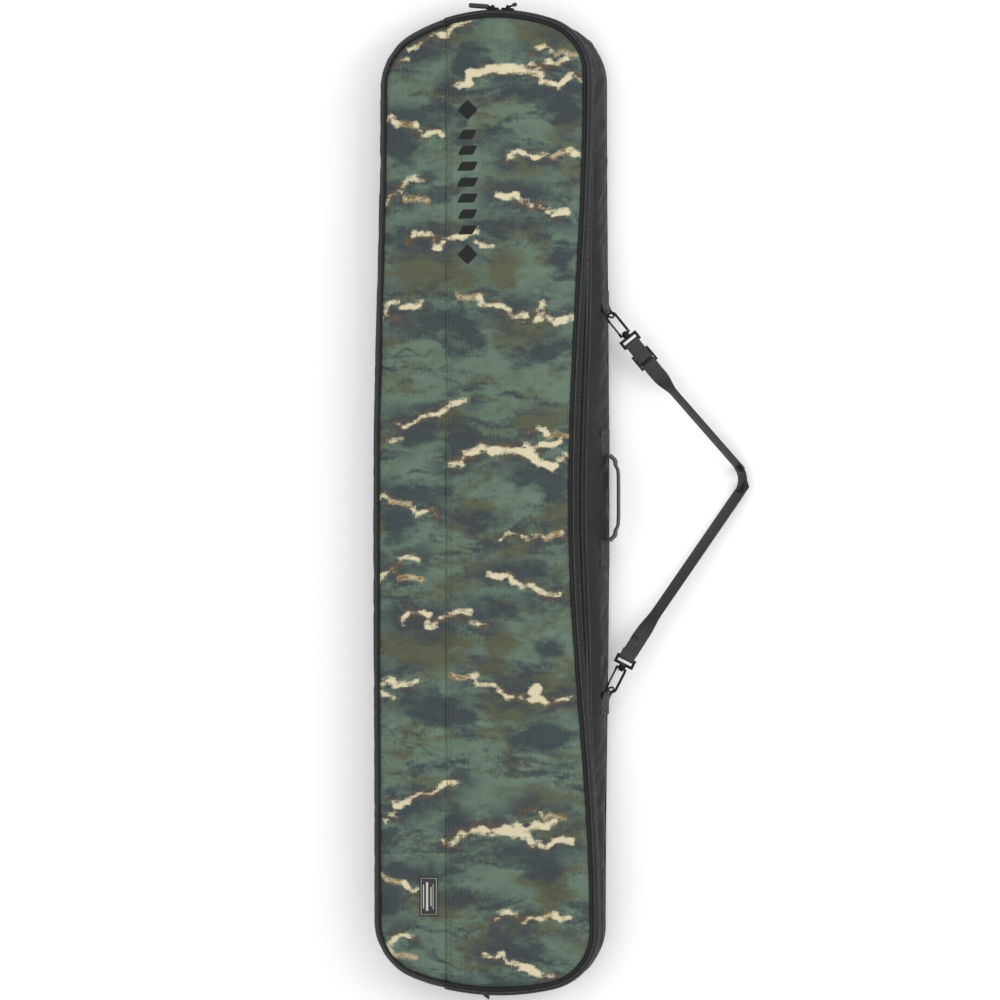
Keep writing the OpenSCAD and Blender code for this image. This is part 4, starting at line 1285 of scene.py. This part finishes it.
def adjusterLoop():
    # a belt of webbing round the eye's bar and the buckle's middle bar, over and under the near bar
    start, eye = inPlane(*glide), inPlane(*upperEye)
    ahead = direction(upperTurn)
    span = 0.0322
    line = [(span + 0.0032, 0.0), (span + 0.0020, -0.0024), (span - 0.004, -0.0026), (span - 0.0125, -0.0028),
            (span - 0.0180, -0.0020), (0.006, -0.0024)]
    line += [(-0.0036 * math.cos(math.radians(a)), -0.0036 * math.sin(math.radians(a)))
             for a in np.linspace(75, -75, 7)]
    line += [(x, -z) for x, z in line[5:0:-1]] + [(span + 0.0032, 0.0003)]
    path = curveThrough([eye + ahead * x + planeUp * z for x, z in line], 110)
    piece = sweep("strapAdjusterLoop", path, np.cross(planeUp, ahead), rounded(webWide, 0.0016))
    finishPiece(piece, "webbing", "strap", "webbing", "strap_adjuster_loop")


adjusterLoop()
print("webbing ready")


# cast and moulded hardware
def softened(name, nodeName, material, rideOn, slotName, voxel=0.00045, passes=6, grow=0.0002):
    # the same solid with its edges rounded, as a casting has
    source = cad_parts[nodeName]
    piece = bpy.data.objects.new(name, source.data.copy())
    bpy.context.collection.objects.link(piece)
    remesh = piece.modifiers.new("remesh", "REMESH")
    remesh.mode = "VOXEL"
    remesh.voxel_size = voxel
    smooth = piece.modifiers.new("smooth", "SMOOTH")
    smooth.factor = 0.5
    smooth.iterations = passes
    swell = piece.modifiers.new("swell", "DISPLACE")
    swell.strength = grow
    swell.mid_level = 0
    bpy.context.view_layer.update()
    mesh = bpy.data.meshes.new_from_object(piece.evaluated_get(bpy.context.evaluated_depsgraph_get()))
    piece.modifiers.clear()
    piece.data = mesh
    mesh.polygons.foreach_set("use_smooth", [True] * len(mesh.polygons))
    return finishPiece(piece, material, rideOn, slotName, nodeName)


for end in ("Upper", "Lower"):
    small = end.lower()
    softened("hookBody" + end, "hook_body_" + small, "metal", small + "_hook", "black_metal",
             0.0005, 6, 0.0003)
    softened("hookGate" + end, "hook_gate_" + small, "metal", small + "_gate", "black_metal",
             0.0004, 3, 0.0004)
    softened("hookEye" + end, "hook_eye_" + small, "metal", "strap", "black_metal", 0.0005, 6, 0.0006)
    softened("ring" + end, "ring_" + small, "metal", small + "_ring", "black_metal", 0.0005, 2, 0.0)
softened("strapBuckle", "strap_buckle", "metal", "strap", "black_metal", 0.0005, 6)
for hand in ("Left", "Right"):
    small = hand.lower()
    softened("slider" + hand, "slider_" + small, "metal", small + "_slider", "black_metal",
             0.00035, 4, 0.0006)
    softened("pull" + hand, "pull_" + small, "metal", small + "_pull", "black_metal", 0.0003, 3, 0.0005)
softened("pullTubeLeft", "pull_tube_left", "pull", "left_pull", "pull_cord", 0.0004, 5, 0.0018)
softened("pullLoopRight", "pull_loop_right", "pull", "right_pull", "pull_cord", 0.0004, 5, 0.0012)
softened("zipEndTab", "zip_end_tab", "blackWebbing", "bag", "webbing", 0.0005, 6)
print("hardware ready")


# floor and light
def stage():
    reach, low = 6, -0.0004
    corners = [(-reach, -reach, low), (reach, -reach, low), (reach, reach, low), (-reach, reach, low)]
    floor = link("floor", corners, [(0, 1, 2, 3)])
    material, tree, shader, place = newMaterial("pale paper floor")
    base = mix(tree, grain(tree, place, 0.6), colour("#fafafa"), colour("#ffffff"))
    tree.links.new(base, shader.inputs["Base Color"])
    shader.inputs["Roughness"].default_value = 0.9
    bump(tree, shader, [(grain(tree, place, 0.002), 0.05, 0.0002)])
    floor.data.materials.append(material)
    world = bpy.data.worlds.new("studio")
    world.use_nodes = True
    world.node_tree.nodes["Background"].inputs["Color"].default_value = (1, 1, 1, 1)
    world.node_tree.nodes["Background"].inputs["Strength"].default_value = 0.86
    bpy.context.scene.world = world


def lamp(name, place, aim, size, power):
    data = bpy.data.lights.new(name, "AREA")
    data.shape = "RECTANGLE"
    data.size, data.size_y = size
    data.energy = power
    piece = bpy.data.objects.new(name, data)
    bpy.context.collection.objects.link(piece)
    piece.location = place
    piece.rotation_euler = (Vector(aim) - Vector(place)).to_track_quat("-Z", "Y").to_euler()


stage()
lamp("keyLight", (2.6, 0.6, 2.4), (0, 0, 0.05), (1.6, 2.6), 44)
lamp("topLight", (-0.4, 0.2, 3.6), (0, 0, 0), (3.4, 3.4), 20)

scene = bpy.context.scene
scene.view_settings.view_transform = "Standard"
